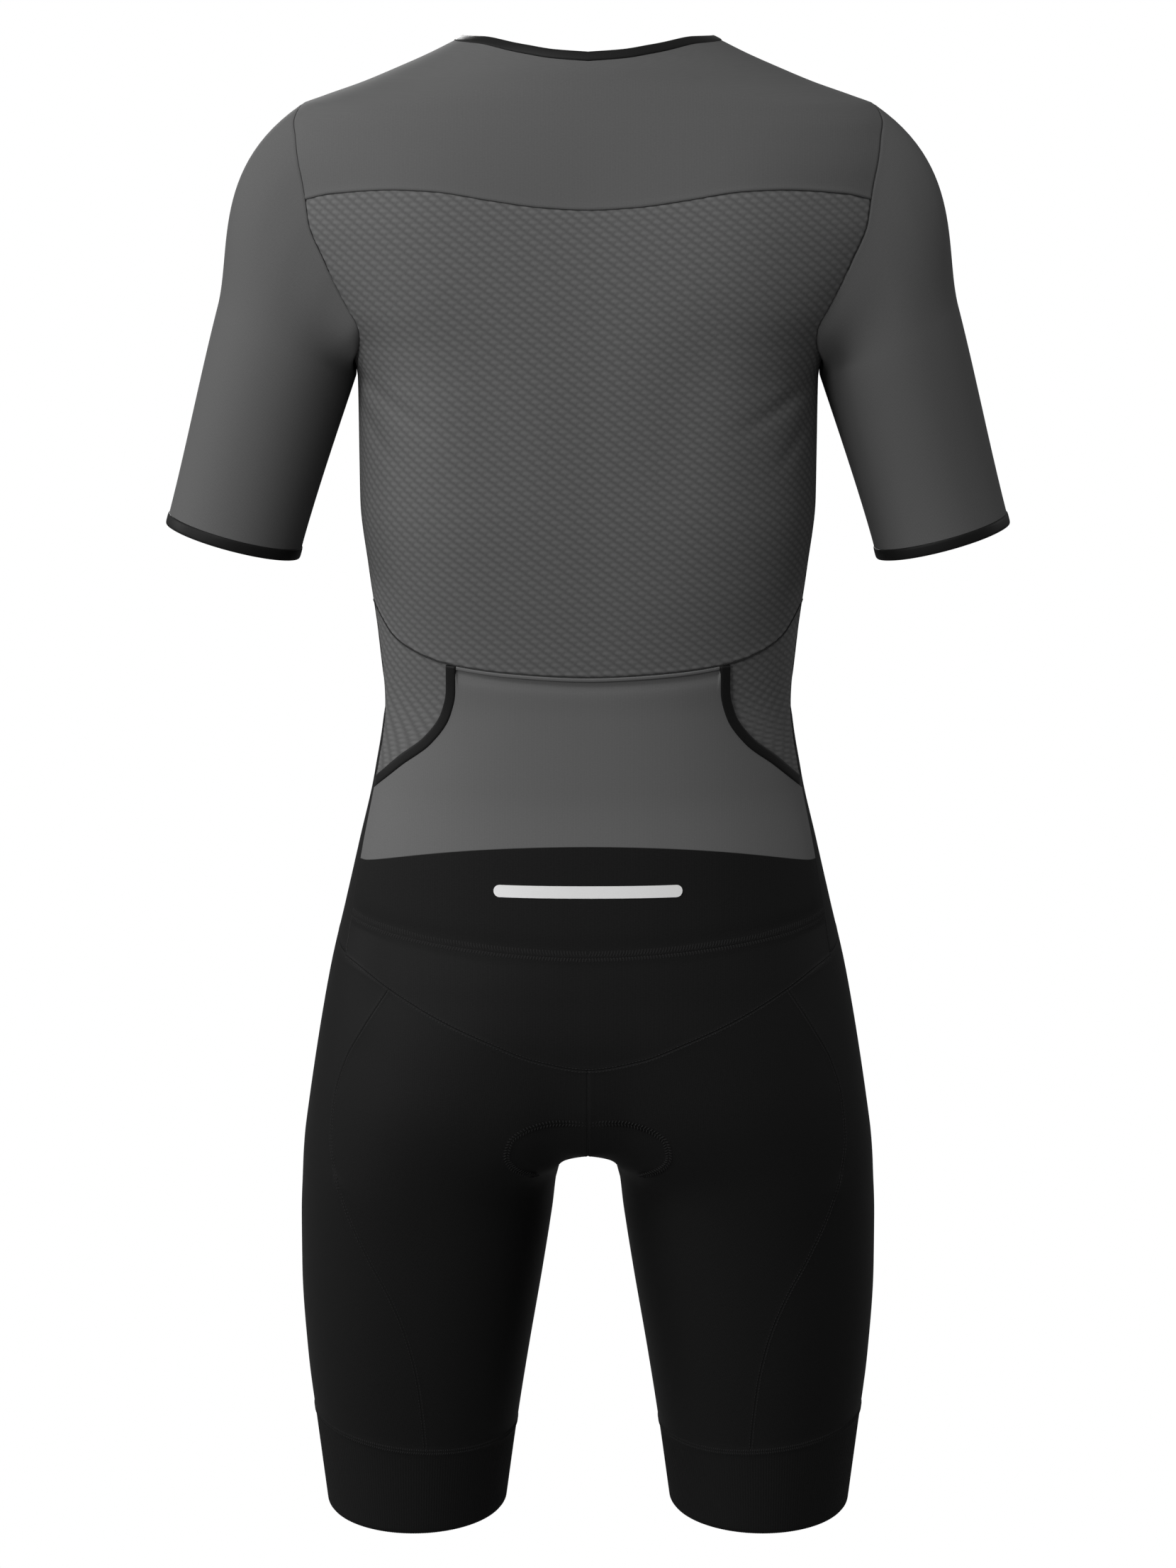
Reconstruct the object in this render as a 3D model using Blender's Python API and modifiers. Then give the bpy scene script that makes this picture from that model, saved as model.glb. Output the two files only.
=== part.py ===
"""Triathlon suit: one piece with short sleeves, filled out to its worn form with no wearer.

Metres, +Z up. The wearer faces -Y and +X is the wearer's left. The origin lies between the
wearer's shoulders, which hold the suit up.

The trunk and the legs are one surface of level ovals. A place on it is a pair of numbers: the
angle round its oval (0 at the outer side, 90 degrees at the middle of the back, -90 at the
middle of the front) and its height. Each panel is cut from that surface between its seams, as a
grid of rows and columns between four edges. A sleeve is a loft from its armhole to its cuff.
"""

from math import atan2, cos, pi, radians, sin

import bmesh
import bpy
import numpy as np
from mathutils import Matrix, Vector

# ---------------------------------------------------------------- driving dimensions (metres)

WALL = 0.0015               # cloth
SEAM_GAP = 0.00036          # between two pieces sewn edge to edge
HALF_GAP = SEAM_GAP / 2
TURN_HALF_GAP = 0.00026     # the same where the cloth turns sharply at the seam
LAY_GAP = 0.0003            # under a piece that lies on another
BINDING_WIDTH = 0.0075      # neck and pocket bindings
BINDING_WALL = 0.0021       # a binding is folded cloth, so it is thicker
BINDING_PROUD = 0.0006      # and stands out from the panels beside it
CUFF_WIDTH = 0.0084

HEM_HEIGHT = -1.0575
CROTCH_HEIGHT = -0.779

# Level ovals of the trunk, top to bottom. Both halves share one oval, centred on the suit.
# Columns: height, half width, depth behind, depth in front, squareness (2 is an ellipse).
TRUNK = (
    (0.0450, 0.0400, 0.0300, 0.0300, 2.00),
    (0.0198, 0.0912, 0.0500, 0.0500, 2.00),     # beside the neck
    (0.0101, 0.1110, 0.0560, 0.0560, 2.00),
    (0.0004, 0.1333, 0.0620, 0.0620, 2.00),
    (-0.0094, 0.1572, 0.0660, 0.0680, 2.05),
    (-0.0191, 0.1849, 0.0700, 0.0740, 2.10),
    (-0.0245, 0.1990, 0.0720, 0.0770, 2.10),    # top of the armhole
    (-0.0400, 0.2130, 0.0780, 0.0860, 2.20),
    (-0.0700, 0.2220, 0.0880, 0.0980, 2.30),
    (-0.1000, 0.2220, 0.0960, 0.1050, 2.35),    # shoulder blades
    (-0.1300, 0.2120, 0.1010, 0.1090, 2.35),
    (-0.1600, 0.1930, 0.1040, 0.1110, 2.35),
    (-0.1900, 0.1700, 0.1055, 0.1120, 2.35),
    (-0.2150, 0.1625, 0.1060, 0.1120, 2.35),    # underarm
    (-0.3000, 0.1620, 0.1040, 0.1080, 2.35),
    (-0.3500, 0.1565, 0.1000, 0.1040, 2.35),
    (-0.4000, 0.1500, 0.0940, 0.0990, 2.30),
    (-0.4450, 0.1465, 0.0890, 0.0950, 2.30),    # waist
    (-0.5000, 0.1540, 0.0900, 0.0950, 2.30),
    (-0.5500, 0.1655, 0.0970, 0.0960, 2.30),
    (-0.6000, 0.1772, 0.1060, 0.0970, 2.30),
)

# Level ovals of one leg. Where the inner edge is negative the oval crosses the middle of the
# suit and ends there, which draws the seat and the rise.
# Columns: height, outer edge, inner edge, depth behind, depth in front, squareness.
LEG = (
    (-0.6400, 0.1868, -0.1600, 0.1130, 0.0970, 2.30),
    (-0.6800, 0.1944, -0.1200, 0.1170, 0.0960, 2.30),   # seat
    (-0.7200, 0.2010, -0.0740, 0.1170, 0.0950, 2.30),
    (-0.7500, 0.2055, -0.0380, 0.1130, 0.0950, 2.30),
    (-0.7680, 0.2080, -0.0140, 0.1090, 0.0950, 2.30),
    (CROTCH_HEIGHT, 0.2090, 0.0000, 0.1060, 0.0950, 2.30),
    (-0.7820, 0.2092, 0.0130, 0.1055, 0.0950, 2.30),
    (-0.7870, 0.2096, 0.0185, 0.1045, 0.0950, 2.30),
    (-0.7960, 0.2100, 0.0220, 0.1030, 0.0950, 2.25),
    (-0.8290, 0.2116, 0.0265, 0.0980, 0.0940, 2.20),
    (-0.8730, 0.2118, 0.0333, 0.0930, 0.0920, 2.15),
    (-0.9400, 0.2083, 0.0445, 0.0850, 0.0860, 2.10),
    (-0.9950, 0.2022, 0.0530, 0.0780, 0.0790, 2.05),
    (HEM_HEIGHT, 0.1950, 0.0615, 0.0735, 0.0730, 2.00),
)

# Seams across the back. Columns: distance from the middle, height.
YOKE_SEAM = ((0.000, -0.0915), (0.033, -0.0900), (0.067, -0.0860), (0.105, -0.0810),
             (0.132, -0.0800), (0.176, -0.0830), (0.200, -0.0890))
ARC_SEAM = ((0.000, -0.4150), (0.050, -0.4130), (0.099, -0.4077), (0.124, -0.4000),
            (0.137, -0.3920), (0.145, -0.3820), (0.155, -0.3680))
WAIST_SEAM = ((0.000, -0.6117), (0.047, -0.6100), (0.094, -0.6065), (0.122, -0.6040),
              (0.149, -0.6010), (0.180, -0.5960))
V_SEAM = ((0.000, -0.6917), (0.036, -0.6855), (0.068, -0.6735), (0.106, -0.6580),
          (0.1415, -0.6410), (0.166, -0.6290), (0.190, -0.6220))

# The middle line of the left pocket binding. Columns: distance from the middle, height.
POCKET_BINDING = ((0.0954, -0.4087), (0.0956, -0.4274), (0.0994, -0.4449), (0.1118, -0.4641),
                  (0.1313, -0.4813), (0.1525, -0.5024))

# Where the two edges of the binding meet the side seam
BINDING_LOW_END = -0.5080
BINDING_HIGH_END = -0.4970

# The side seam, a little behind the side. Columns: height, angle in degrees.
SIDE_SEAM = ((-0.640, 24.0), (-0.600, 20.0), (-0.560, 16.5), (-0.500, 12.0), (-0.400, 10.0),
             (-0.300, 9.5), (-0.180, 8.0))

# The curved seam between the back and the front of a leg. Columns: height, distance from middle.
LEG_SEAM = ((-1.000, 0.1180), (-0.970, 0.1200), (-0.935, 0.1237), (-0.901, 0.1310),
            (-0.870, 0.1425), (-0.840, 0.1580), (-0.807, 0.1730), (-0.778, 0.1820),
            (-0.7555, 0.1846), (-0.726, 0.1820), (-0.698, 0.1740), (-0.671, 0.1600),
            (-0.6412, 0.1415))
LEG_SEAM_TOP = -0.6412
BAND_SEAM = -0.9880         # top of the leg band at the middle of the leg
BAND_SEAM_RISE = 0.0075     # and how much higher it is at the outer side

# The seam round the front under the fronts. Columns: angle in degrees, height.
FRONT_WAIST_SEAM = ((-90.0, -0.6030), (-45.0, -0.6070), (0.0, -0.6180), (23.0, -0.6250))
CHEST_ROW = -0.2280         # height at the zip of the row of the fronts that meets the underarm

# The armhole in side view: from its top, an angle over the back and down. The front is alike.
# Columns: angle in degrees, depth from the side line.
ARMHOLE_TOP = -0.0245
ARMHOLE_BOTTOM = -0.2020
ARMHOLE = ((0.0, 0.0000), (27.0, 0.0200), (41.0, 0.0325), (62.0, 0.0470), (85.0, 0.0570),
           (108.0, 0.0620), (128.0, 0.0615), (146.0, 0.0500), (165.0, 0.0240), (180.0, 0.0000))
SHOULDER_SEAM_ANGLE = -27.0     # on the armhole, ahead of its top
UNDERARM_ANGLE = 173.0          # where the side seam reaches it

# The seam of the neck binding. Columns: angle round the trunk in degrees, height.
NECK_SEAM = ((-90.0, -0.0875), (-84.8, -0.0785), (-78.0, -0.0520), (-71.4, -0.0290),
             (-59.4, -0.0080), (-43.8, 0.0055), (-22.0, 0.0155), (0.0, 0.0189), (37.0, 0.0176),
             (65.0, 0.0114), (78.0, 0.0080), (90.0, 0.0063))
SHOULDER_SEAM_NECK = -25.0      # angle round the trunk where the shoulder seam meets the neck
SHOULDER_HALF_GAP = 0.37        # half the shoulder seam's gap, as an angle in degrees

# The sleeve: its axis leans out from the trunk and it ends in a level-cut oval across that axis.
SLEEVE_LEAN = 15.4              # degrees from the vertical
CUFF_MIDDLE = (0.2535, 0.0000, -0.3320)
CUFF_HALF_WIDTH = 0.0486
CUFF_HALF_DEPTH = 0.0490
UPPER_ARM_MIDDLE = (0.2125, 0.0000, -0.1895)    # middle ring of the sleeve
UPPER_ARM_HALF_WIDTH = 0.0543
UPPER_ARM_HALF_DEPTH = 0.0580
UPPER_ARM_LEAN = 26.8           # degrees that this ring leans out
UPPER_ARM_SHARE = 0.45          # and its share of the sleeve's length
CAP_SLOPE = 33.0                # degrees below the level at which the cap leaves the shoulder
CAP_FULLNESS = 1.5              # how far it carries on that way, against the cap's length

# The zip on the front, with a slider near the neck and a pull tab that swings on it.
ZIP_HALF_WIDTH = 0.0038
ZIP_SLOT = 0.0041               # half the space that the fronts leave for it
ZIP_WALL = 0.0018
ZIP_TOP = -0.0800
SLIDER_HEIGHT = -0.0960         # middle of the slider
SLIDER_SIZE = (0.0074, 0.0024, 0.0096)
EAR_THICKNESS = 0.0012
PIN_RADIUS = 0.0006
KNUCKLE_RADIUS = 0.0015
KNUCKLE_CLEARANCE = 0.0003
TAB_LENGTH = 0.0260
TAB_WIDTH = 0.0042
TAB_THICKNESS = 0.0012
TAB_TIP_GAP = 0.0005            # between the resting tab's tip and the zip
PIN_RISE = 0.22                 # pin above the slider's middle, as a share of its length
EAR_LENGTH = 0.0028
EAR_ROOT = 0.0002               # how deep an ear is rooted in the slider

# Rows and columns of the grids
COLUMNS_POCKET = 5              # middle of the back to the pocket binding
COLUMNS_BESIDE = 4              # pocket binding to the side seam
COLUMNS_BACK = COLUMNS_POCKET + 1 + COLUMNS_BESIDE
ROWS_BINDING = 7                # along the pocket binding
ROWS_POCKET = 6
ROWS_SIDE = 6                   # side seam from the arc seam to the underarm
ROWS_ARMHOLE_BACK = 7           # armhole from the underarm to the yoke
ROWS_YOKE_MIDDLE = 3
ROWS_NECK_BACK = 6
ROWS_NECK_FRONT = 8
ROWS_ARMHOLE_FRONT = 12
ROWS_WAIST = 3
ROWS_SIDE_FRONT = ROWS_WAIST + ROWS_POCKET + 1 + ROWS_BINDING + ROWS_SIDE
COLUMNS_SEAT = 8                # V seam from the middle to the leg seam
COLUMNS_HIP = 4                 # V seam from the leg seam to the side seam
ROWS_RISE = 6
ROWS_LEG = 15
ROWS_RISE_FRONT = 7
ROWS_BAND = 3
ROWS_SLEEVE_CAP = 5             # armhole to the middle ring
ROWS_SLEEVE = 6                 # middle ring to the cuff
TRACK_POINTS = 6                # worked out for each row along the pocket binding
SOLVER_STEPS = 40               # of a seam's height at an angle, which settles well before
MERGE_DISTANCE = 0.00002        # between two grids' copies of one corner

# Finishes. Columns: sRGB grey of the cloth, roughness, metallic.
FINISHES = {
    "grey mesh": (0.36, 0.80, 0.0),
    "grey knit": (0.33, 0.62, 0.0),
    "black knit": (0.10, 0.62, 0.0),
    "black rib": (0.08, 0.75, 0.0),
    "black binding": (0.10, 0.55, 0.0),
    "zip chain": (0.06, 0.45, 0.0),
    "zip metal": (0.25, 0.35, 1.0),
}

# ---------------------------------------------------------------- curves through tables


def smooth(table, at, column=1):
    """Value of a table's column at `at`, along a smooth curve that never overshoots a row."""
    rows = sorted(table)
    x = np.array([row[0] for row in rows])
    y = np.array([row[column] for row in rows])
    step = np.diff(x)
    slope = np.diff(y) / step
    tangent = np.zeros_like(y)
    tangent[0] = slope[0]
    tangent[-1] = slope[-1]
    for i in range(1, len(x) - 1):
        if slope[i - 1] * slope[i] > 0:
            before = 2 * step[i] + step[i - 1]
            after = step[i] + 2 * step[i - 1]
            tangent[i] = (before + after) / (before / slope[i - 1] + after / slope[i])
    at = np.clip(at, x[0], x[-1])
    k = np.clip(np.searchsorted(x, at) - 1, 0, len(x) - 2)
    t = (at - x[k]) / step[k]
    return ((1 + 2 * t) * (1 - t) ** 2 * y[k] + t * (1 - t) ** 2 * step[k] * tangent[k]
            + t * t * (3 - 2 * t) * y[k + 1] + t * t * (t - 1) * step[k] * tangent[k + 1])


LEVELS = tuple((row[0], row[1], -row[1]) + row[2:] for row in TRUNK) + LEG


def oval(height):
    """Middle, half width, depths behind and in front and squareness of the oval at a height."""
    outer, inner, behind, ahead, square = (smooth(LEVELS, height, c) for c in range(1, 6))
    return (outer + inner) / 2, (outer - inner) / 2, behind, ahead, square


def body(place):
    """Points of the surface at places (..., 2) of angle and height."""
    angle, height = place[..., 0], place[..., 1]
    middle, half, behind, ahead, square = oval(height)
    c, s = np.cos(angle), np.sin(angle)
    size = (np.abs(c) ** square + np.abs(s) ** square) ** (-1 / square)
    return np.stack([middle + half * size * c, np.where(s > 0, behind, ahead) * size * s, height],
                    axis=-1)


def place_of(point):
    """The place (angle, height) of the surface point nearest in its level to a point."""
    middle, half, behind, ahead, _ = oval(point[..., 2])
    depth = np.where(point[..., 1] > 0, behind, ahead)
    angle = np.arctan2(point[..., 1] / depth, (point[..., 0] - middle) / half)
    return np.stack([angle, point[..., 2]], axis=-1)


def angle_across(x, height, side=1):
    """Angle at a distance x from the middle of the suit, behind (1) or in front (-1)."""
    middle, half, _, _, square = oval(height)
    share = np.clip((x - middle) / half, -1, 1)
    reach = np.maximum(1 - np.abs(share) ** square, 0) ** (1 / square)
    return side * np.arctan2(reach, share)


def angle_deep(y, height):
    """Angle on the outer half of the oval at a depth y from the side line."""
    _, _, behind, ahead, square = oval(height)
    share = np.clip(y / np.where(y > 0, behind, ahead), -1, 1)
    return np.arctan2(share, np.maximum(1 - np.abs(share) ** square, 0) ** (1 / square))


# ---------------------------------------------------------------- seams, as rows of places


def join(*curves):
    """Curves end to end, without the repeated points."""
    return np.concatenate([curves[0]] + [curve[1:] for curve in curves[1:]])


def places(angle, height):
    """Places from angles in radians and heights, either of which may be one number."""
    angle, height = np.broadcast_arrays(np.asarray(angle, float), np.asarray(height, float))
    return np.stack([angle, height], axis=-1)


def seam_height(table, angle, shift=0.0):
    """Height at which a seam of the back crosses an angle, moved up by `shift`."""
    height = np.full(np.shape(angle), table[0][1])
    for _ in range(SOLVER_STEPS):
        x = body(places(angle, height))[..., 0]
        height = smooth(table, np.abs(x)) + shift
    return height


def side_angle(height, shift=0.0):
    """Angle of the side seam, moved towards the back by `shift` metres."""
    _, _, behind, _, _ = oval(height)
    return np.radians(smooth(SIDE_SEAM, height)) + shift / behind


def side_end(table, shift_up, shift_back):
    """Height where a seam of the back meets the side seam."""
    height = table[-1][1]
    for _ in range(SOLVER_STEPS):
        height = float(seam_height(table, side_angle(height, shift_back), shift_up))
    return height


def side_seam(first, last, steps, shift):
    """The side seam between two heights."""
    height = np.linspace(first, last, steps + 1)
    return places(side_angle(height, shift), height)


def middle_back(first, last, steps):
    """The middle line of the back above the seat, for a panel that crosses it."""
    return places(pi / 2, np.linspace(first, last, steps + 1))


def across(table, first, last, steps, shift):
    """A seam of the back, between two angles."""
    angle = np.linspace(first, last, steps + 1)
    return places(angle, seam_height(table, angle, shift))


def armhole(first, last, steps, grow=HALF_GAP):
    """The armhole between two of its angles in degrees, grown by half a seam gap."""
    angle = np.linspace(first, last, steps + 1)
    turn = np.abs((angle + 180) % 360 - 180)
    side = np.where((angle + 180) % 360 - 180 >= 0, 1, -1)
    rise = (ARMHOLE_TOP - ARMHOLE_BOTTOM) / 2 + grow
    height = (ARMHOLE_TOP + ARMHOLE_BOTTOM) / 2 + rise * np.cos(np.radians(turn))
    depth = side * (smooth(ARMHOLE, turn) + grow * np.sin(np.radians(turn)))
    return places(angle_deep(depth, height), height)


def neck(first, last, steps, shift):
    """The seam of the neck binding between two angles in degrees."""
    angle = np.linspace(first, last, steps + 1)
    return places(np.radians(angle), smooth(NECK_SEAM, angle) + shift)


def rise(first, last, steps, side):
    """The middle seam of the seat (1) or of the front (-1), between two heights, even in angle."""
    ends = angle_across(HALF_GAP, np.array([first, last]))
    angle = np.linspace(ends[0], ends[1], steps + 1)
    low = np.full(angle.shape, min(first, last))
    high = np.full(angle.shape, max(first, last))
    for _ in range(SOLVER_STEPS):
        half = (low + high) / 2
        wide = angle_across(HALF_GAP, half) > angle
        low = np.where(wide, half, low)
        high = np.where(wide, high, half)
    return places(side * angle, (low + high) / 2)


def inseam(first, last, steps, side):
    """The inner seam of a leg, behind (1) or in front (-1) of its inner edge."""
    height = np.linspace(first, last, steps + 1)
    _, _, behind, ahead, _ = oval(height)
    return places(side * (pi - TURN_HALF_GAP / np.where(side > 0, behind, ahead)), height)


def leg_seam(first, last, steps, shift):
    """The curved seam of a leg between two heights, moved out by `shift`."""
    height = np.linspace(first, last, steps + 1)
    return places(angle_across(smooth(LEG_SEAM, height) + shift, height), height)


def band_height(angle):
    """Height of the seam of the leg band, which rises to the outer side."""
    return BAND_SEAM + BAND_SEAM_RISE * np.cos(angle)


def outward(place):
    """Unit vectors square to the surface."""
    small = 1e-4
    round_it = body(place + [small, 0.0]) - body(place - [small, 0.0])
    up_it = body(place + [0.0, small]) - body(place - [0.0, small])
    square = np.cross(round_it, up_it)
    return square / np.linalg.norm(square, axis=-1)[..., None]


def shifted(line, distance):
    """Points of a line moved along the cloth, square to it: up where it runs out from the
    middle of the back, and out where it runs down."""
    points = body(line)
    across_it = np.cross(np.gradient(points, axis=0), outward(line))
    return points + distance * across_it / np.linalg.norm(across_it, axis=1)[:, None]


def beside(table, offset, last_height, steps):
    """A line of the back beside the one in a table, `offset` to its outer side, which ends on
    the side seam."""
    rows = np.array(table)
    length = np.concatenate([[0], np.cumsum(np.hypot(*np.diff(rows, axis=0).T))])
    track = [(float(l / length[-1]), float(r[0]), float(r[1])) for l, r in zip(length, rows)]
    along = np.linspace(0, 1, TRACK_POINTS * steps + 1)
    height = smooth(track, along, 2)
    line = places(angle_across(smooth(track, along, 1), height), height)
    line = place_of(shifted(line, offset))[::TRACK_POINTS]
    near_end = np.linspace(0, 1, steps + 1) ** 6
    line[:, 1] += (last_height - line[-1, 1]) * near_end
    line[-1, 0] = side_angle(last_height, TURN_HALF_GAP)
    return line


# ---------------------------------------------------------------- grids


def patch(bottom, top, left, right):
    """A grid of places between four edges, which blends them evenly (a Coons patch)."""
    u = np.linspace(0, 1, len(bottom))[None, :, None]
    v = np.linspace(0, 1, len(left))[:, None, None]
    ruled = (1 - v) * bottom[None] + v * top[None] + (1 - u) * left[:, None] + u * right[:, None]
    corners = ((1 - v) * ((1 - u) * bottom[0] + u * bottom[-1])
               + v * ((1 - u) * top[0] + u * top[-1]))
    return ruled - corners


def mirrored(grid):
    """The same grid on the wearer's right. Its columns turn round, so that it still faces out."""
    return grid[:, ::-1] * np.array([-1.0, 1.0, 1.0])


def both_sides(grid):
    """A half grid whose first column is the middle line, made whole."""
    return np.concatenate([mirrored(grid)[:, :-1], grid], axis=1)


# ---------------------------------------------------------------- solids


def material(finish):
    """The material of a finish, made once."""
    if finish in bpy.data.materials:
        return bpy.data.materials[finish]
    grey, roughness, metallic = FINISHES[finish]
    made = bpy.data.materials.new(finish)
    made.use_nodes = True
    shader = made.node_tree.nodes["Principled BSDF"]
    linear = grey ** 2.2
    shader.inputs["Base Color"].default_value = (linear, linear, linear, 1)
    shader.inputs["Roughness"].default_value = roughness
    shader.inputs["Metallic"].default_value = metallic
    return made


def add_object(name, mesh, finish):
    """An object of the suit from its mesh."""
    mesh.materials.append(material(finish))
    made = bpy.data.objects.new(name, mesh)
    suit.objects.link(made)
    return made


def cloth(name, grids, finish, wall=WALL, lift=0.0, ring=False):
    """One piece of cloth: grids of points joined along the edges that they share, moved out by
    `lift` and thickened inward. Rows run up and columns run from the back to the front."""
    bm = bmesh.new()
    for grid in grids:
        rows, columns = grid.shape[:2]
        corners = [[bm.verts.new(point) for point in row] for row in grid]
        last = columns if ring else columns - 1
        for i in range(rows - 1):
            for j in range(last):
                k = (j + 1) % columns
                bm.faces.new((corners[i][j], corners[i + 1][j], corners[i + 1][k], corners[i][k]))
    bmesh.ops.remove_doubles(bm, verts=bm.verts, dist=MERGE_DISTANCE)
    if lift:
        bm.normal_update()
        for vertex in bm.verts:
            vertex.co += lift * vertex.normal
    mesh = bpy.data.meshes.new(name)
    bm.to_mesh(mesh)
    bm.free()
    made = add_object(name, mesh, finish)
    solidify = made.modifiers.new("Wall", "SOLIDIFY")
    solidify.thickness = wall
    solidify.offset = -1
    solidify.use_even_offset = True
    mesh.shade_smooth()
    return made


def pair(name, grid, finish, **settings):
    """A piece on the wearer's left and its mirror image on the right."""
    cloth(name + "_left", [grid], finish, **settings)
    cloth(name + "_right", [mirrored(grid)], finish, **settings)


# ---------------------------------------------------------------- corners that pieces share

# angle round the armhole where the yoke seam reaches it
YOKE_CORNER = np.degrees(np.arccos((2 * YOKE_SEAM[-1][1] - ARMHOLE_TOP - ARMHOLE_BOTTOM)
                                   / (ARMHOLE_TOP - ARMHOLE_BOTTOM)))


def yoke():
    """Over both shoulders, from the yoke seam behind to the shoulder seams in front."""
    right = armhole(YOKE_CORNER, SHOULDER_SEAM_ANGLE + SHOULDER_HALF_GAP,
                    ROWS_YOKE_MIDDLE + ROWS_NECK_BACK)
    bottom = across(YOKE_SEAM, pi / 2, right[0, 0], COLUMNS_BACK, HALF_GAP)
    right[0] = bottom[-1]
    edge = neck(90.0, SHOULDER_SEAM_NECK + SHOULDER_HALF_GAP, ROWS_NECK_BACK, -HALF_GAP)
    left = join(middle_back(bottom[0, 1], edge[0, 1], ROWS_YOKE_MIDDLE), edge)
    top = np.linspace(left[-1], right[-1], COLUMNS_BACK + 1)
    half = body(patch(bottom, top, left, right))
    cloth("back_yoke", [half, mirrored(half)], "grey knit")


def arc_columns(shift):
    """The arc seam from the middle to the side seam, with a column at each edge of the pocket
    binding."""
    height = smooth(ARC_SEAM, POCKET_BINDING[0][0])
    half = BINDING_WIDTH / 2
    inner = angle_across(POCKET_BINDING[0][0] - half, height)
    outer = angle_across(POCKET_BINDING[0][0] + half, height)
    end = side_end(ARC_SEAM, shift, TURN_HALF_GAP)
    return join(across(ARC_SEAM, pi / 2, inner, COLUMNS_POCKET, shift),
                across(ARC_SEAM, inner, outer, 1, shift),
                across(ARC_SEAM, outer, side_angle(end, TURN_HALF_GAP), COLUMNS_BESIDE, shift))


def back_panel():
    """The upper back, between the yoke seam and the arc seam."""
    bottom = arc_columns(HALF_GAP)
    under = armhole(UNDERARM_ANGLE, YOKE_CORNER, ROWS_ARMHOLE_BACK)
    right = join(side_seam(bottom[-1, 1], under[0, 1], ROWS_SIDE, TURN_HALF_GAP), under)
    right[ROWS_SIDE] = (side_angle(under[0, 1], TURN_HALF_GAP), under[0, 1])
    top = across(YOKE_SEAM, pi / 2, under[-1, 0], COLUMNS_BACK, -HALF_GAP)
    right[-1] = top[-1]
    left = middle_back(bottom[0, 1], top[0, 1], ROWS_SIDE + ROWS_ARMHOLE_BACK)
    cloth("back_panel", [both_sides(body(patch(bottom, top, left, right)))], "grey mesh")


def lower_back():
    """The lower back, the pocket panel on it and the bindings of the two pocket openings."""
    arc = arc_columns(-HALF_GAP)
    half = BINDING_WIDTH / 2
    inner = beside(POCKET_BINDING, -half, BINDING_LOW_END, ROWS_BINDING)
    outer = beside(POCKET_BINDING, half, BINDING_HIGH_END, ROWS_BINDING)
    inner[0] = arc[COLUMNS_POCKET]
    outer[0] = arc[COLUMNS_POCKET + 1]
    end = side_end(WAIST_SEAM, HALF_GAP, TURN_HALF_GAP)
    bottom = across(WAIST_SEAM, pi / 2, side_angle(end, TURN_HALF_GAP),
                    COLUMNS_POCKET + ROWS_BINDING, HALF_GAP)
    pocket = body(patch(bottom, join(arc[:COLUMNS_POCKET + 1], inner),
                        middle_back(bottom[0, 1], arc[0, 1], ROWS_POCKET),
                        side_seam(end, BINDING_LOW_END, ROWS_POCKET, TURN_HALF_GAP)))
    strip = body(np.stack([inner, outer]))
    corner = np.repeat(outer[-1:], COLUMNS_BESIDE + 1, axis=0)
    flank = body(patch(corner, arc[COLUMNS_POCKET + 1:], outer[::-1],
                       side_seam(outer[-1, 1], arc[-1, 1], ROWS_BINDING, TURN_HALF_GAP)))
    halves = [both_sides(pocket)]
    for grid in (strip, flank):
        halves += [grid, mirrored(grid)]
    cloth("lower_back", halves, "grey mesh")
    cloth("pocket_panel", [both_sides(pocket)], "grey knit", lift=LAY_GAP + WALL)
    binding = strip.copy()
    binding[0] += (binding[1] - binding[0]) * SEAM_GAP / BINDING_WIDTH
    pair("pocket_binding", binding, "black binding", wall=BINDING_WALL,
         lift=LAY_GAP + BINDING_WALL)


def waist_panel():
    """Between the waist seam and the V seam."""
    end = side_end(WAIST_SEAM, -HALF_GAP, TURN_HALF_GAP)
    top = across(WAIST_SEAM, pi / 2, side_angle(end, TURN_HALF_GAP), COLUMNS_SEAT + COLUMNS_HIP,
                 -HALF_GAP)
    bottom = v_columns(HALF_GAP, 0.0)
    left = np.linspace(bottom[0], top[0], ROWS_WAIST + 1)
    left[:, 0] = angle_across(0.0, left[:, 1])
    right = side_seam(bottom[-1, 1], end, ROWS_WAIST, TURN_HALF_GAP)
    cloth("waist_panel", [both_sides(body(patch(bottom, top, left, right)))], "black knit")


def v_columns(shift, middle):
    """The V seam from `middle` (a distance from the middle line) to the side seam, with a column
    at the top of the leg seam."""
    low = V_SEAM[0][1]
    first = float(angle_across(middle, low))
    split = float(angle_across(smooth(LEG_SEAM, LEG_SEAM_TOP), LEG_SEAM_TOP))
    end = side_end(V_SEAM, shift, TURN_HALF_GAP)
    return join(across(V_SEAM, first, split, COLUMNS_SEAT, shift),
                across(V_SEAM, split, side_angle(end, TURN_HALF_GAP), COLUMNS_HIP, shift))


def side_heights(low, high):
    """Heights along the side seam at which a row of a back piece ends, for the fronts to share."""
    waist = side_end(WAIST_SEAM, 0.0, 0.0)
    arc = side_end(ARC_SEAM, 0.0, 0.0)
    return join(np.linspace(low, waist, ROWS_WAIST + 1),
                np.linspace(waist, BINDING_LOW_END, ROWS_POCKET + 1),
                np.array([BINDING_LOW_END, BINDING_HIGH_END]),
                np.linspace(BINDING_HIGH_END, arc, ROWS_BINDING + 1),
                np.linspace(arc, high, ROWS_SIDE + 1))


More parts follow.
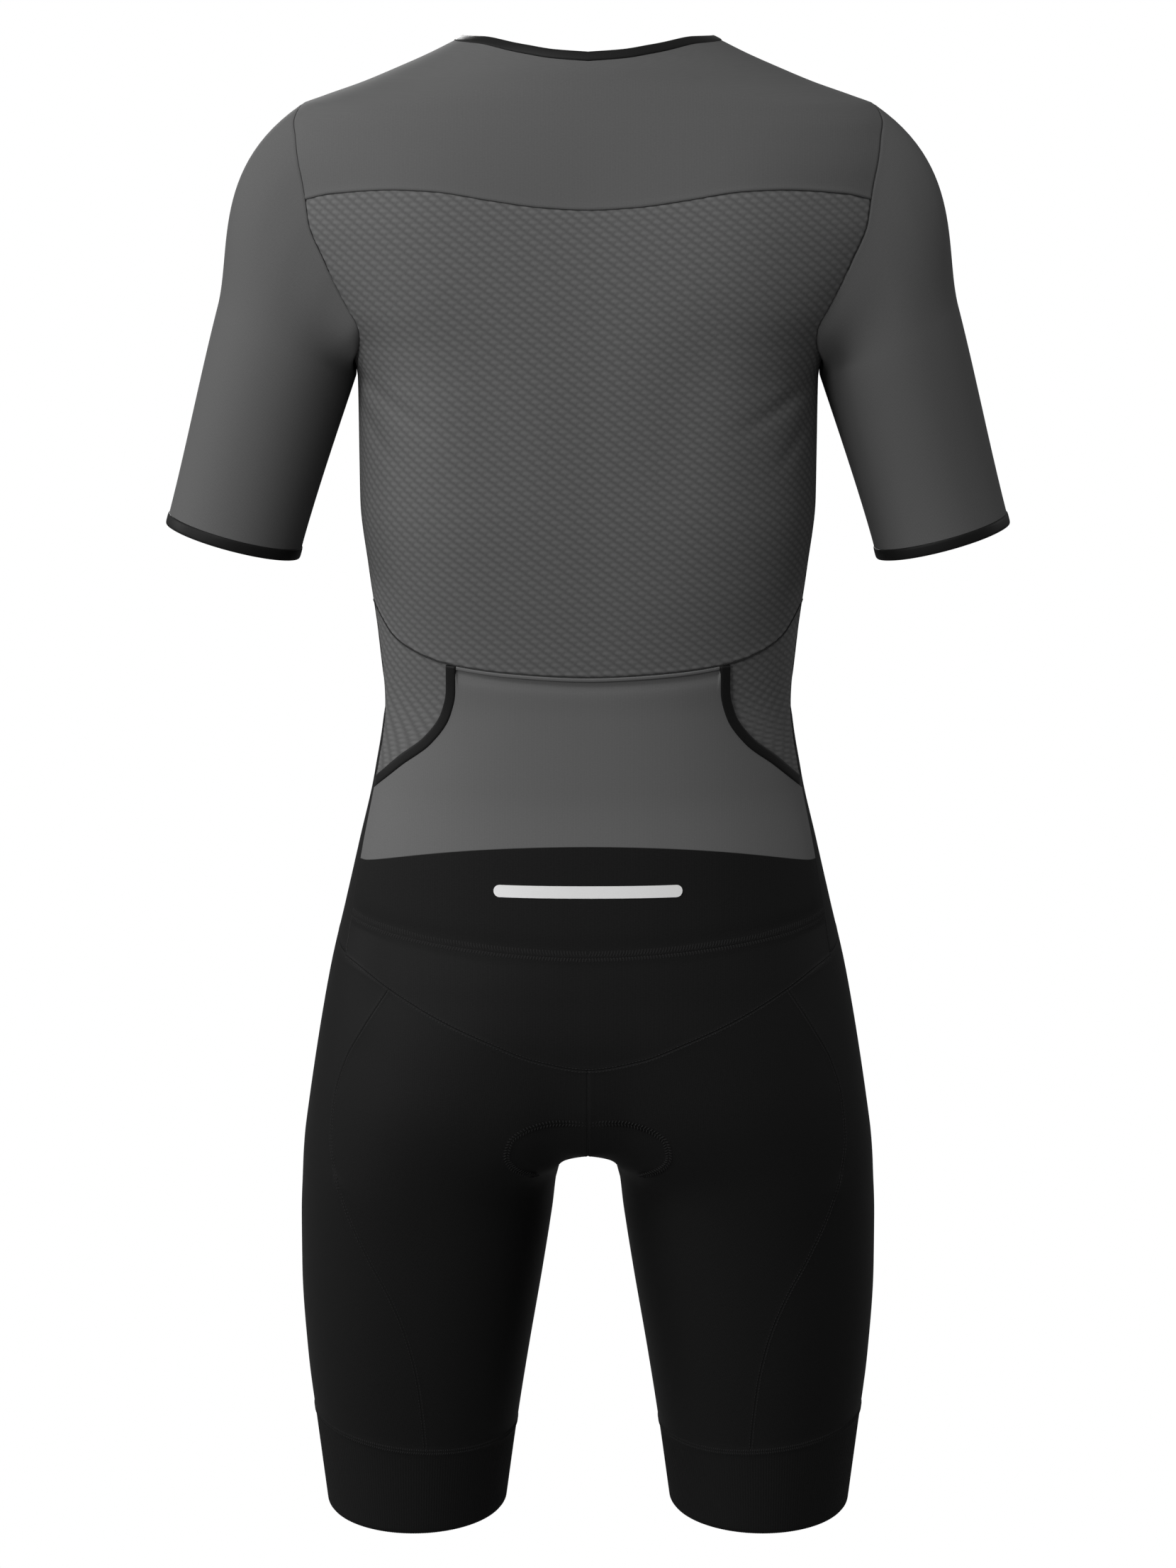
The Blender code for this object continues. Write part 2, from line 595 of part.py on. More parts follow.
def zip_heights():
    """Heights of the rows of the fronts at the zip: level with the underarm the rows run down
    a little to the zip, so that they keep clear of the armhole."""
    rows = ROWS_SIDE_FRONT + ROWS_ARMHOLE_FRONT - ROWS_NECK_FRONT
    return join(np.linspace(FRONT_WAIST_SEAM[0][1] + HALF_GAP, CHEST_ROW, ROWS_SIDE_FRONT + 1),
                np.linspace(CHEST_ROW, NECK_SEAM[0][1] - HALF_GAP, rows - ROWS_SIDE_FRONT + 1))


def front():
    """The left and right fronts, from the side seams to the zip, the neck and the shoulders."""
    end = side_end(V_SEAM, HALF_GAP, -TURN_HALF_GAP)
    angle = np.linspace(side_angle(end, -TURN_HALF_GAP),
                        angle_across(ZIP_SLOT, FRONT_WAIST_SEAM[0][1], -1), COLUMNS_BACK + 1)
    bottom = places(angle, smooth(FRONT_WAIST_SEAM, np.degrees(angle)) + HALF_GAP)
    bottom[0, 1] = end
    hole = armhole(UNDERARM_ANGLE - 360, SHOULDER_SEAM_ANGLE - SHOULDER_HALF_GAP,
                   ROWS_ARMHOLE_FRONT)
    height = side_heights(end, hole[0, 1])
    left = join(places(side_angle(height, -TURN_HALF_GAP), height), hole)
    height = zip_heights()
    zip_edge = places(angle_across(ZIP_SLOT, height, -1), height)
    edge = neck(np.degrees(zip_edge[-1, 0]), SHOULDER_SEAM_NECK - SHOULDER_HALF_GAP,
                ROWS_NECK_FRONT, -HALF_GAP)
    right = join(zip_edge, edge)
    top = np.linspace(left[-1], right[-1], COLUMNS_BACK + 1)
    pair("front", body(patch(bottom, top, left, right)), "black knit")


def neck_binding():
    """A strip round the neck, open at the zip."""
    first = np.degrees(float(angle_across(ZIP_SLOT, NECK_SEAM[0][1], -1)))
    seam = join(neck(90.0, SHOULDER_SEAM_NECK, ROWS_NECK_BACK, HALF_GAP),
                neck(SHOULDER_SEAM_NECK, first, ROWS_NECK_FRONT, HALF_GAP))
    edge = shifted(seam, BINDING_WIDTH)
    edge[0, 0] = 0.0
    edge[-1, 0] = ZIP_SLOT
    half = np.stack([body(seam), edge])
    cloth("neck_binding", [half, mirrored(half)], "black binding", wall=BINDING_WALL,
          lift=BINDING_PROUD)


def legs():
    """Leg backs, leg fronts and bands. Front and back meet at the inseam and the curved seam."""
    v_line = v_columns(-HALF_GAP, HALF_GAP)
    seat = v_line[:COLUMNS_SEAT + 1].copy()
    seat[-1] = leg_seam(seat[-1, 1], seat[-1, 1], 0, -TURN_HALF_GAP)[0]
    inner_end = float(band_height(pi)) + HALF_GAP
    seam_end = float(band_height(pi / 2)) + HALF_GAP
    # back
    left = join(inseam(inner_end, CROTCH_HEIGHT, ROWS_LEG - ROWS_RISE, 1),
                rise(CROTCH_HEIGHT, seat[0, 1], ROWS_RISE, 1))
    right = leg_seam(seam_end, seat[-1, 1], ROWS_LEG, -TURN_HALF_GAP)
    angle = np.linspace(left[0, 0], right[0, 0], COLUMNS_SEAT + 1)
    bottom_back = places(angle, band_height(angle) + HALF_GAP)
    right[0] = bottom_back[-1]
    left[0] = bottom_back[0]
    left[-1] = seat[0]
    pair("leg_back", body(patch(bottom_back, seat, left, right)), "black knit")
    # front
    start = leg_seam(LEG_SEAM_TOP, LEG_SEAM_TOP, 0, TURN_HALF_GAP)[0]
    hip = v_line[COLUMNS_SEAT:].copy()
    hip[0] = (start[0], hip[0, 1])
    angle = np.linspace(hip[-1, 0], angle_across(HALF_GAP, FRONT_WAIST_SEAM[0][1], -1),
                        COLUMNS_BACK + 1)
    waist = places(angle, smooth(FRONT_WAIST_SEAM, np.degrees(angle)) - HALF_GAP)
    top = join(hip, waist)
    left = leg_seam(seam_end, hip[0, 1], ROWS_LEG, TURN_HALF_GAP)
    right = join(inseam(inner_end, CROTCH_HEIGHT, ROWS_LEG - ROWS_RISE_FRONT, -1),
                 rise(CROTCH_HEIGHT, top[-1, 1], ROWS_RISE_FRONT, -1))
    angle = np.linspace(left[0, 0], right[0, 0], COLUMNS_HIP + COLUMNS_BACK + 1)
    bottom_front = places(angle, band_height(angle) + HALF_GAP)
    left[0] = bottom_front[0]
    left[-1] = top[0]
    right[0] = bottom_front[-1]
    right[-1] = top[-1]
    pair("leg_front", body(patch(bottom_front, top, left, right)), "black knit")
    # band
    angle = np.concatenate([bottom_back[:, 0], bottom_front[1:-1, 0]])
    top = places(angle, band_height(angle) - HALF_GAP)
    hem = places(angle, HEM_HEIGHT)
    band = body(np.linspace(hem, top, ROWS_BAND + 1))
    pair("leg_band", band, "black rib", ring=True)


def sleeve_columns():
    """Angles round the armhole of the sleeve's columns, which are those of its neighbours."""
    return join(np.linspace(UNDERARM_ANGLE, YOKE_CORNER, ROWS_ARMHOLE_BACK + 1),
                np.linspace(YOKE_CORNER, SHOULDER_SEAM_ANGLE,
                            ROWS_YOKE_MIDDLE + ROWS_NECK_BACK + 1),
                np.linspace(SHOULDER_SEAM_ANGLE, UNDERARM_ANGLE - 360,
                            ROWS_ARMHOLE_FRONT + 1))[:-1]


def sleeve_oval(turn, middle, half_width, half_depth, lean):
    """An oval across the sleeve, whose outer end leans up by an angle in degrees."""
    outward_end = np.array([cos(radians(lean)), 0.0, sin(radians(lean))])
    return (np.array(middle) + half_width * np.cos(turn) * outward_end
            + half_depth * np.sin(turn) * np.array([0.0, 1.0, 0.0]))


def cubic(t, start, end, leave, arrive):
    """A smooth curve between two points, which leaves and arrives along two vectors."""
    return ((1 + 2 * t) * (1 - t) ** 2 * start + t * (1 - t) ** 2 * leave
            + t * t * (3 - 2 * t) * end + t * t * (t - 1) * arrive)


def sleeves():
    """The sleeves and their cuff bindings.

    Each column is two cubics, from a point of the armhole to one of the middle ring and on to
    one of the cuff. It leaves the armhole along the shoulder at the top and along the sleeve at
    the underarm, and runs along the sleeve from the middle ring on."""
    columns = sleeve_columns()
    turn = np.radians(columns)[:, None]
    start = np.concatenate([body(armhole(a, a, 0, -HALF_GAP)) for a in columns])
    middle = sleeve_oval(turn, UPPER_ARM_MIDDLE, UPPER_ARM_HALF_WIDTH, UPPER_ARM_HALF_DEPTH,
                         UPPER_ARM_LEAN)
    end = sleeve_oval(turn, CUFF_MIDDLE, CUFF_HALF_WIDTH, CUFF_HALF_DEPTH, SLEEVE_LEAN)
    axis = np.array([sin(radians(SLEEVE_LEAN)), 0.0, -cos(radians(SLEEVE_LEAN))])
    shoulder = np.array([cos(radians(CAP_SLOPE)), 0.0, -sin(radians(CAP_SLOPE))])
    top = (1 + np.cos(turn)) / 2
    cap = np.linalg.norm(middle - start, axis=1)[:, None]
    tube = np.linalg.norm(end - middle, axis=1)[:, None]
    leave = cap * (top * CAP_FULLNESS * shoulder + (1 - top) * axis)
    even = np.minimum(cap / UPPER_ARM_SHARE, tube / (1 - UPPER_ARM_SHARE))
    rings = [cubic(t, start, middle, leave, even * UPPER_ARM_SHARE * axis)
             for t in np.linspace(0, 1, ROWS_SLEEVE_CAP + 1)]
    rings += [cubic(t, middle, end, even * (1 - UPPER_ARM_SHARE) * axis, tube * axis)
              for t in np.linspace(0, 1, ROWS_SLEEVE + 1)[1:]]
    rings[-1] = end - axis * (CUFF_WIDTH + SEAM_GAP)
    pair("sleeve", np.stack(rings[::-1]), "grey knit", ring=True)
    cuff = np.stack([end, end - axis * CUFF_WIDTH])
    pair("cuff_binding", cuff, "black binding", wall=BINDING_WALL, lift=BINDING_PROUD, ring=True)


# ---------------------------------------------------------------- zip


def front_frame(height):
    """A frame on the middle of the front: its origin on the cloth's surface, X across, Y into
    the cloth and Z up along it."""
    step = 0.004
    low, mid, high = (body(places(-pi / 2, height + d)) for d in (-step, 0.0, step))
    up = Vector(high - low).normalized()
    across_x = Vector((1, 0, 0))
    inward = up.cross(across_x).normalized()
    frame = Matrix((across_x, inward, up)).transposed().to_4x4()
    frame.translation = Vector(mid)
    return frame


def add_box(bm, size, middle):
    """A box about its middle."""
    made = bmesh.ops.create_cube(bm, size=1.0)
    for vertex in made["verts"]:
        vertex.co = Vector([c * s for c, s in zip(vertex.co, size)]) + Vector(middle)


def add_rod(bm, radius, length, middle, sides=16):
    """A round rod along X."""
    turn = Matrix.Rotation(pi / 2, 4, "Y")
    bmesh.ops.create_cone(bm, cap_ends=True, segments=sides, radius1=radius, radius2=radius,
                          depth=length, matrix=Matrix.Translation(middle) @ turn)


def solid(name, build, frame, finish):
    """An object from a builder function, placed by a frame."""
    bm = bmesh.new()
    build(bm)
    mesh = bpy.data.meshes.new(name)
    bm.to_mesh(mesh)
    bm.free()
    made = add_object(name, mesh, finish)
    made.matrix_world = frame
    return made


def boolean(target, cutter, operation):
    """Join or cut with another object, which is then put away with the cutters."""
    modifier = target.modifiers.new(operation.title(), "BOOLEAN")
    modifier.operation = operation
    modifier.object = cutter
    suit.objects.unlink(cutter)
    cutters.objects.link(cutter)
    cutter.hide_render = True
    cutter.display_type = "WIRE"


def zip_chain():
    """The closed zip between the fronts, from the neck edge to the front waist seam."""
    height = np.append(zip_heights(), ZIP_TOP)
    half = places(angle_across(ZIP_HALF_WIDTH, height, -1), height)
    middle = places(-pi / 2, height)
    grid = body(np.stack([half, middle], axis=1))
    cloth("front_zip", [np.concatenate([grid, mirrored(grid)[:, 1:]], axis=1)], "zip chain",
          wall=ZIP_WALL, lift=BINDING_PROUD / 2)


def zip_slider():
    """A slider on the zip with two ears and a pin, and the pull tab on the pin."""
    frame = front_frame(SLIDER_HEIGHT)
    face = -(BINDING_PROUD / 2 + LAY_GAP)
    wide, deep, tall = SLIDER_SIZE
    pin_depth = face - deep - KNUCKLE_RADIUS - KNUCKLE_CLEARANCE
    pin_height = tall * PIN_RISE
    ear_x = TAB_WIDTH / 2 + KNUCKLE_CLEARANCE + EAR_THICKNESS / 2
    ear_depth = KNUCKLE_RADIUS * 2 + KNUCKLE_CLEARANCE

    slider = solid("zip_slider", lambda bm: add_box(bm, SLIDER_SIZE, (0, face - deep / 2, 0)),
                   frame, "zip metal")
    for side in (-1, 1):
        ear = solid("ear", lambda bm: add_box(
            bm, (EAR_THICKNESS, ear_depth + 2 * EAR_ROOT, EAR_LENGTH),
            (side * ear_x, face - deep - ear_depth / 2 + EAR_ROOT, pin_height)),
                    frame, "zip metal")
        boolean(slider, ear, "UNION")
    pin = solid("pin", lambda bm: add_rod(bm, PIN_RADIUS, 2 * ear_x,
                                          (0, pin_depth, pin_height)), frame, "zip metal")
    boolean(slider, pin, "UNION")

    hinge = frame @ Matrix.Translation((0, pin_depth, pin_height))
    drop = atan2(-pin_depth - TAB_THICKNESS / 2 - BINDING_PROUD / 2 - TAB_TIP_GAP, TAB_LENGTH)
    hinge = hinge @ Matrix.Rotation(drop, 4, "X")
    tab = solid("zip_pull", lambda bm: add_rod(bm, KNUCKLE_RADIUS, TAB_WIDTH, (0, 0, 0)),
                hinge, "zip metal")
    plate = solid("plate", lambda bm: add_box(
        bm, (TAB_WIDTH, TAB_THICKNESS, TAB_LENGTH), (0, 0, -TAB_LENGTH / 2)), hinge, "zip metal")
    boolean(tab, plate, "UNION")
    hole = solid("hole", lambda bm: add_rod(bm, PIN_RADIUS + KNUCKLE_CLEARANCE, 2 * TAB_WIDTH,
                                            (0, 0, 0)), hinge, "zip metal")
    boolean(tab, hole, "DIFFERENCE")


# ---------------------------------------------------------------- the suit

for old in list(bpy.data.objects):
    bpy.data.objects.remove(old)
suit = bpy.data.collections.new("triathlon_suit")
cutters = bpy.data.collections.new("cutters")
bpy.context.scene.collection.children.link(suit)
bpy.context.scene.collection.children.link(cutters)

yoke()
back_panel()
lower_back()
waist_panel()
front()
neck_binding()
legs()
sleeves()
zip_chain()
zip_slider()
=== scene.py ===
"""Looks of the triathlon suit: cloth shells with seams, sewing and knit around the fixed frame.

Every shell is a surface of two parameters. The trunk and the legs share one surface of level ovals,
and a place on it is an angle round the oval and a height. A panel is a grid of places between four
seams, and its points stand out from that surface by the panel's own relief.
"""

from math import cos, pi, radians, sin

import bpy
import bmesh
import numpy as np
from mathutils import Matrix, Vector

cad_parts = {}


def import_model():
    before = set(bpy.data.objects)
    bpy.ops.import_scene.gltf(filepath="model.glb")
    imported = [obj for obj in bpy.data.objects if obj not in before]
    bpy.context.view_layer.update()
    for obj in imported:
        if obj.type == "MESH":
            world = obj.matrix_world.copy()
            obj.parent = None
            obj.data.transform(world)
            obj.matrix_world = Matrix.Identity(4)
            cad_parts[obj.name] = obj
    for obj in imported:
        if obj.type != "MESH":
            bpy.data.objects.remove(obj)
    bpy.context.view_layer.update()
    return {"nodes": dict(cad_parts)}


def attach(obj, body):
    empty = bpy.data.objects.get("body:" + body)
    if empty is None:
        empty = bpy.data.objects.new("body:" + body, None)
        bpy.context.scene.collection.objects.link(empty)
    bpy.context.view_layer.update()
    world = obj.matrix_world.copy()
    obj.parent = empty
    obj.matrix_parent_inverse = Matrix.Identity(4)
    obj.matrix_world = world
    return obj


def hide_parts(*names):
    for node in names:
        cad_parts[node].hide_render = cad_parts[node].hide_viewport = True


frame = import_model()

# ------------------------------------------------------------ the form, in metres, as in the frame

CLOTH = 0.0009                  # thickness of the shells
POCKET_CLOTH = 0.0005           # and of the pocket's, which lies on another
CROTCH = -0.779                 # height of the crotch
HEM = -1.0575                   # and of the legs' ends

# The level ovals of the trunk and the left leg. Columns: height, outer edge, inner edge, depth
# behind, depth in front, squareness.
LEVELS = (
    (0.0450, 0.0400, -0.0400, 0.0300, 0.0300, 2.00),
    (0.0198, 0.0912, -0.0912, 0.0500, 0.0500, 2.00),
    (0.0101, 0.1110, -0.1110, 0.0560, 0.0560, 2.00),
    (0.0004, 0.1333, -0.1333, 0.0620, 0.0620, 2.00),
    (-0.0094, 0.1572, -0.1572, 0.0660, 0.0680, 2.05),
    (-0.0191, 0.1849, -0.1849, 0.0700, 0.0740, 2.10),
    (-0.0245, 0.1990, -0.1990, 0.0720, 0.0770, 2.10),
    (-0.0400, 0.2130, -0.2130, 0.0780, 0.0860, 2.20),
    (-0.0700, 0.2220, -0.2220, 0.0880, 0.0980, 2.30),
    (-0.1000, 0.2220, -0.2220, 0.0960, 0.1050, 2.35),
    (-0.1300, 0.2120, -0.2120, 0.1010, 0.1090, 2.35),
    (-0.1600, 0.1930, -0.1930, 0.1040, 0.1110, 2.35),
    (-0.1900, 0.1700, -0.1700, 0.1055, 0.1120, 2.35),
    (-0.2150, 0.1625, -0.1625, 0.1060, 0.1120, 2.35),
    (-0.3000, 0.1620, -0.1620, 0.1040, 0.1080, 2.35),
    (-0.3500, 0.1565, -0.1565, 0.1000, 0.1040, 2.35),
    (-0.4000, 0.1500, -0.1500, 0.0940, 0.0990, 2.30),
    (-0.4450, 0.1465, -0.1465, 0.0890, 0.0950, 2.30),
    (-0.5000, 0.1540, -0.1540, 0.0900, 0.0950, 2.30),
    (-0.5500, 0.1655, -0.1655, 0.0970, 0.0960, 2.30),
    (-0.6000, 0.1772, -0.1772, 0.1060, 0.0970, 2.30),
    (-0.6400, 0.1868, -0.1600, 0.1130, 0.0970, 2.30),
    (-0.6800, 0.1944, -0.1200, 0.1170, 0.0960, 2.30),
    (-0.7200, 0.2010, -0.0740, 0.1170, 0.0950, 2.30),
    (-0.7500, 0.2055, -0.0380, 0.1130, 0.0950, 2.30),
    (-0.7680, 0.2080, -0.0140, 0.1090, 0.0950, 2.30),
    (CROTCH, 0.2090, 0.0000, 0.1060, 0.0950, 2.30),
    (-0.7820, 0.2092, 0.0130, 0.1055, 0.0950, 2.30),
    (-0.7870, 0.2096, 0.0185, 0.1045, 0.0950, 2.30),
    (-0.7960, 0.2100, 0.0220, 0.1030, 0.0950, 2.25),
    (-0.8290, 0.2116, 0.0265, 0.0980, 0.0940, 2.20),
    (-0.8730, 0.2118, 0.0333, 0.0930, 0.0920, 2.15),
    (-0.9400, 0.2083, 0.0445, 0.0850, 0.0860, 2.10),
    (-0.9950, 0.2022, 0.0530, 0.0780, 0.0790, 2.05),
    (HEM, 0.1950, 0.0615, 0.0735, 0.0730, 2.00),
)

# Seams across the back. Columns: distance from the middle, height.
YOKE_SEAM = ((0.000, -0.0915), (0.033, -0.0900), (0.067, -0.0860), (0.105, -0.0810),
             (0.132, -0.0800), (0.176, -0.0830), (0.200, -0.0890))
ARC_SEAM = ((0.000, -0.4150), (0.050, -0.4130), (0.099, -0.4077), (0.124, -0.4000),
            (0.137, -0.3920), (0.145, -0.3820), (0.155, -0.3680))
WAIST_SEAM = ((0.000, -0.6117), (0.047, -0.6100), (0.094, -0.6065), (0.122, -0.6040),
              (0.149, -0.6010), (0.180, -0.5960))
V_SEAM = ((0.000, -0.6917), (0.036, -0.6855), (0.068, -0.6735), (0.106, -0.6580),
          (0.1415, -0.6410), (0.166, -0.6290), (0.190, -0.6220))
POCKET_BINDING = ((0.0954, -0.4087), (0.0956, -0.4274), (0.0994, -0.4449), (0.1118, -0.4641),
                  (0.1313, -0.4813), (0.1525, -0.5024))
BINDING_LOW_END = -0.5080       # heights of the binding's two edges at the side seam
BINDING_HIGH_END = -0.4970
POCKET_BINDING_WIDTH = 0.0075

# Columns: height, angle in degrees.
SIDE_SEAM = ((-0.640, 24.0), (-0.600, 20.0), (-0.560, 16.5), (-0.500, 12.0), (-0.400, 10.0),
             (-0.300, 9.5), (-0.2013, 6.17))
# Columns: height, distance from the middle.
LEG_SEAM = ((-1.000, 0.1180), (-0.970, 0.1200), (-0.935, 0.1237), (-0.901, 0.1310),
            (-0.870, 0.1425), (-0.840, 0.1580), (-0.807, 0.1730), (-0.778, 0.1820),
            (-0.7555, 0.1846), (-0.726, 0.1820), (-0.698, 0.1740), (-0.671, 0.1600),
            (-0.6412, 0.1415))
LEG_SEAM_TOP = -0.6412
BAND_SEAM = -0.9880             # mean height of the leg band's seam
BAND_SEAM_RISE = 0.0065         # how far it rises to the outer side
BAND_SEAM_DIP = 0.0034          # and dips behind
# Columns: angle in degrees, height.
FRONT_WAIST_SEAM = ((-90.0, -0.6030), (-45.0, -0.6070), (0.0, -0.6180), (23.0, -0.6250))
CHEST_ROW = -0.2280             # height of the zip's edge level with the underarm

ARMHOLE_TOP = -0.0245
ARMHOLE_BOTTOM = -0.2020
# Columns: angle round the armhole in degrees, depth from the side line.
ARMHOLE = ((0.0, 0.0000), (27.0, 0.0200), (41.0, 0.0325), (62.0, 0.0470), (85.0, 0.0570),
           (108.0, 0.0620), (128.0, 0.0615), (146.0, 0.0500), (165.0, 0.0240), (180.0, 0.0000))
SHOULDER_SEAM_ANGLE = -27.0
UNDERARM_ANGLE = 173.0
# Columns: angle round the trunk in degrees, height.
NECK_SEAM = ((-90.0, -0.0875), (-84.8, -0.0785), (-78.0, -0.0520), (-71.4, -0.0290),
             (-59.4, -0.0080), (-43.8, 0.0055), (-22.0, 0.0155), (0.0, 0.0189), (37.0, 0.0176),
             (65.0, 0.0114), (78.0, 0.0080), (90.0, 0.0063))
SHOULDER_SEAM_NECK = -25.0
BINDING_WIDTH = 0.0075
CUFF_WIDTH = 0.0084

# The sleeve: its lean in degrees, the cuff's oval and the oval of the upper arm
SLEEVE_LEAN = 15.4
CUFF_MIDDLE = (0.2535, 0.0000, -0.3320)
CUFF_HALF_WIDTH = 0.0486
CUFF_HALF_DEPTH = 0.0490
UPPER_ARM_MIDDLE = (0.2125, 0.0000, -0.1895)
UPPER_ARM_HALF_WIDTH = 0.0543
UPPER_ARM_HALF_DEPTH = 0.0580
UPPER_ARM_LEAN = 26.8
UPPER_ARM_SHARE = 0.45          # of the sleeve's length from the armhole
CAP_SLOPE = 33.0                # degrees down at which the sleeve leaves the shoulder
CAP_FULLNESS = 1.5              # and how far it holds that way

ZIP_HALF_WIDTH = 0.0038         # of the slot between the fronts
TAPE_HALF_WIDTH = 0.0045        # of the tape, which lies under their edges
ZIP_TOP = -0.0800

# Parameter shares at which an edge made of two seams turns from one to the other
FRONT_SIDE_SHARE = 23 / 35
FRONT_ZIP_SHARE = 27 / 35
YOKE_MIDDLE_SHARE = 3 / 9
BACK_SIDE_SHARE = 6 / 13
POCKET_TOP_SHARE = 5 / 12
LEG_INSEAM_SHARE = 9 / 15
LEG_FRONT_INSEAM_SHARE = 8 / 15
HIP_SHARE = 4 / 14

# ------------------------------------------------------------ curves through tables


def smooth(table, at, column=1):
    """A table's column along a monotone cubic: Hermite pieces whose slopes at the rows are the
    weighted harmonic means of the slopes beside them, or zero at a turn."""
    rows = sorted(table)
    x = np.array([row[0] for row in rows])
    y = np.array([row[column] for row in rows])
    step = np.diff(x)
    slope = np.diff(y) / step
    tangent = np.zeros_like(y)
    tangent[0], tangent[-1] = slope[0], slope[-1]
    for i in range(1, len(x) - 1):
        if slope[i - 1] * slope[i] > 0:
            before = 2 * step[i] + step[i - 1]
            after = step[i] + 2 * step[i - 1]
            tangent[i] = (before + after) / (before / slope[i - 1] + after / slope[i])
    at = np.clip(at, x[0], x[-1])
    k = np.clip(np.searchsorted(x, at) - 1, 0, len(x) - 2)
    t = (at - x[k]) / step[k]
    return ((1 + 2 * t) * (1 - t) ** 2 * y[k] + t * (1 - t) ** 2 * step[k] * tangent[k]
            + t * t * (3 - 2 * t) * y[k + 1] + t * t * (t - 1) * step[k] * tangent[k + 1])


def step_up(value, low, high):
    """0 below `low`, 1 above `high`, and 3 t^2 - 2 t^3 between."""
    t = np.clip((value - low) / (high - low), 0, 1)
    return t * t * (3 - 2 * t)


def oval(height):
    """Middle, half width, the two depths and the squareness of the oval at a height."""
    outer, inner, behind, ahead, square = (smooth(LEVELS, height, c) for c in range(1, 6))
    return (outer + inner) / 2, (outer - inner) / 2, behind, ahead, square


MIDDLE_ROUND = 0.036            # how far from the middle plane the seat's hollow is rounded


def body(place):
    """Points of the surface: a superellipse |x/a|^n + |y/b|^n = 1 at each height, where b is one
    depth behind and another in front. Where the two legs' ovals meet at the middle, their slope
    there is taken off by slope (w - |x|)^2 / 2w within w of it."""
    angle, height = place[..., 0], place[..., 1]
    middle, half, behind, ahead, square = oval(height)
    c, s = np.cos(angle), np.sin(angle)
    size = (np.abs(c) ** square + np.abs(s) ** square) ** (-1 / square)
    x, depth = middle + half * size * c, np.where(s > 0, behind, ahead)
    share = np.clip(middle / half, 0, 0.8)
    slope = depth * share ** (square - 1) * (1 - share ** square) ** (1 / square - 1) / half
    near = np.maximum(MIDDLE_ROUND - np.abs(x), 0) ** 2 / (2 * MIDDLE_ROUND)
    fill = step_up(height, -0.777, -0.758) * slope * near
    return np.stack([x, depth * size * s + np.sign(s) * fill, height], axis=-1)


def outward(place):
    """Unit vectors square to the surface, from the cross product of its two slopes."""
    small = 1e-4
    round_it = body(place + [small, 0.0]) - body(place - [small, 0.0])
    up_it = body(place + [0.0, small]) - body(place - [0.0, small])
    square = np.cross(round_it, up_it)
    return square / np.linalg.norm(square, axis=-1)[..., None]


def place_of(point):
    """Angle and height of a point near the surface."""
    middle, half, behind, ahead, _ = oval(point[..., 2])
    depth = np.where(point[..., 1] > 0, behind, ahead)
    angle = np.arctan2(point[..., 1] / depth, (point[..., 0] - middle) / half)
    return np.stack([angle, point[..., 2]], axis=-1)


def angle_across(x, height, side=1):
    """Angle of the surface's point at a distance from the middle, behind (side 1) or in front."""
    middle, half, _, _, square = oval(height)
    share = np.clip((x - middle) / half, -1, 1)
    reach = np.maximum(1 - np.abs(share) ** square, 0) ** (1 / square)
    return side * np.arctan2(reach, share)


def angle_deep(y, height):
    """Angle of the surface's point at a depth, on the outer side."""
    _, _, behind, ahead, square = oval(height)
    share = np.clip(y / np.where(y > 0, behind, ahead), -1, 1)
    return np.arctan2(share, np.maximum(1 - np.abs(share) ** square, 0) ** (1 / square))


# ------------------------------------------------------------ seams, as functions of a share 0 to 1


def places(angle, height):
    angle, height = np.broadcast_arrays(np.asarray(angle, float), np.asarray(height, float))
    return np.stack([angle, height], axis=-1)


def between(first, last, t):
    return first + (last - first) * np.asarray(t, float)


def chain(t, share, first, second):
    """Two curves end to end: the first up to that share of the way, and then the second."""
    t = np.asarray(t, float)
    return np.where((t <= share)[:, None], first(np.clip(t / share, 0, 1)),
                    second(np.clip((t - share) / (1 - share), 0, 1)))


def seam_height(table, angle):
    """Height of a seam at an angle; its table is mirrored, so that it runs level at the middle."""
    table = ((-table[1][0], table[1][1]),) + table
    height = np.full(np.shape(angle), table[1][1])
    for _ in range(40):
        height = smooth(table, np.abs(body(places(angle, height))[..., 0]))
    return height


def side_angle(height):
    return np.radians(smooth(SIDE_SEAM, height))


def side_end(table):
    height = table[-1][1]
    for _ in range(40):
        height = float(seam_height(table, side_angle(height)))
    return height


def side_seam(first, last, t):
    height = between(first, last, t)
    return places(side_angle(height), height)


def middle_back(first, last, t):
    """The line down the middle of the back."""
    height = between(first, last, t)
    return places(angle_across(0.0, height), height)


def across(table, first, last, t):
    """A seam across the back, from one angle to another."""
    angle = between(first, last, t)
    return places(angle, seam_height(table, angle))


def armhole(first, last, t):
    """The armhole: height by the cosine of the angle round it, and depth by its table."""
    angle = between(first, last, t)
    turn = np.abs((angle + 180) % 360 - 180)
    side = np.where((angle + 180) % 360 - 180 >= 0, 1, -1)
    height = ((ARMHOLE_TOP + ARMHOLE_BOTTOM) / 2
              + (ARMHOLE_TOP - ARMHOLE_BOTTOM) / 2 * np.cos(np.radians(turn)))
    return places(angle_deep(side * smooth(ARMHOLE, turn), height), height)


def neck(first, last, t):
    angle = between(first, last, t)
    return places(np.radians(angle), smooth(NECK_SEAM, angle))


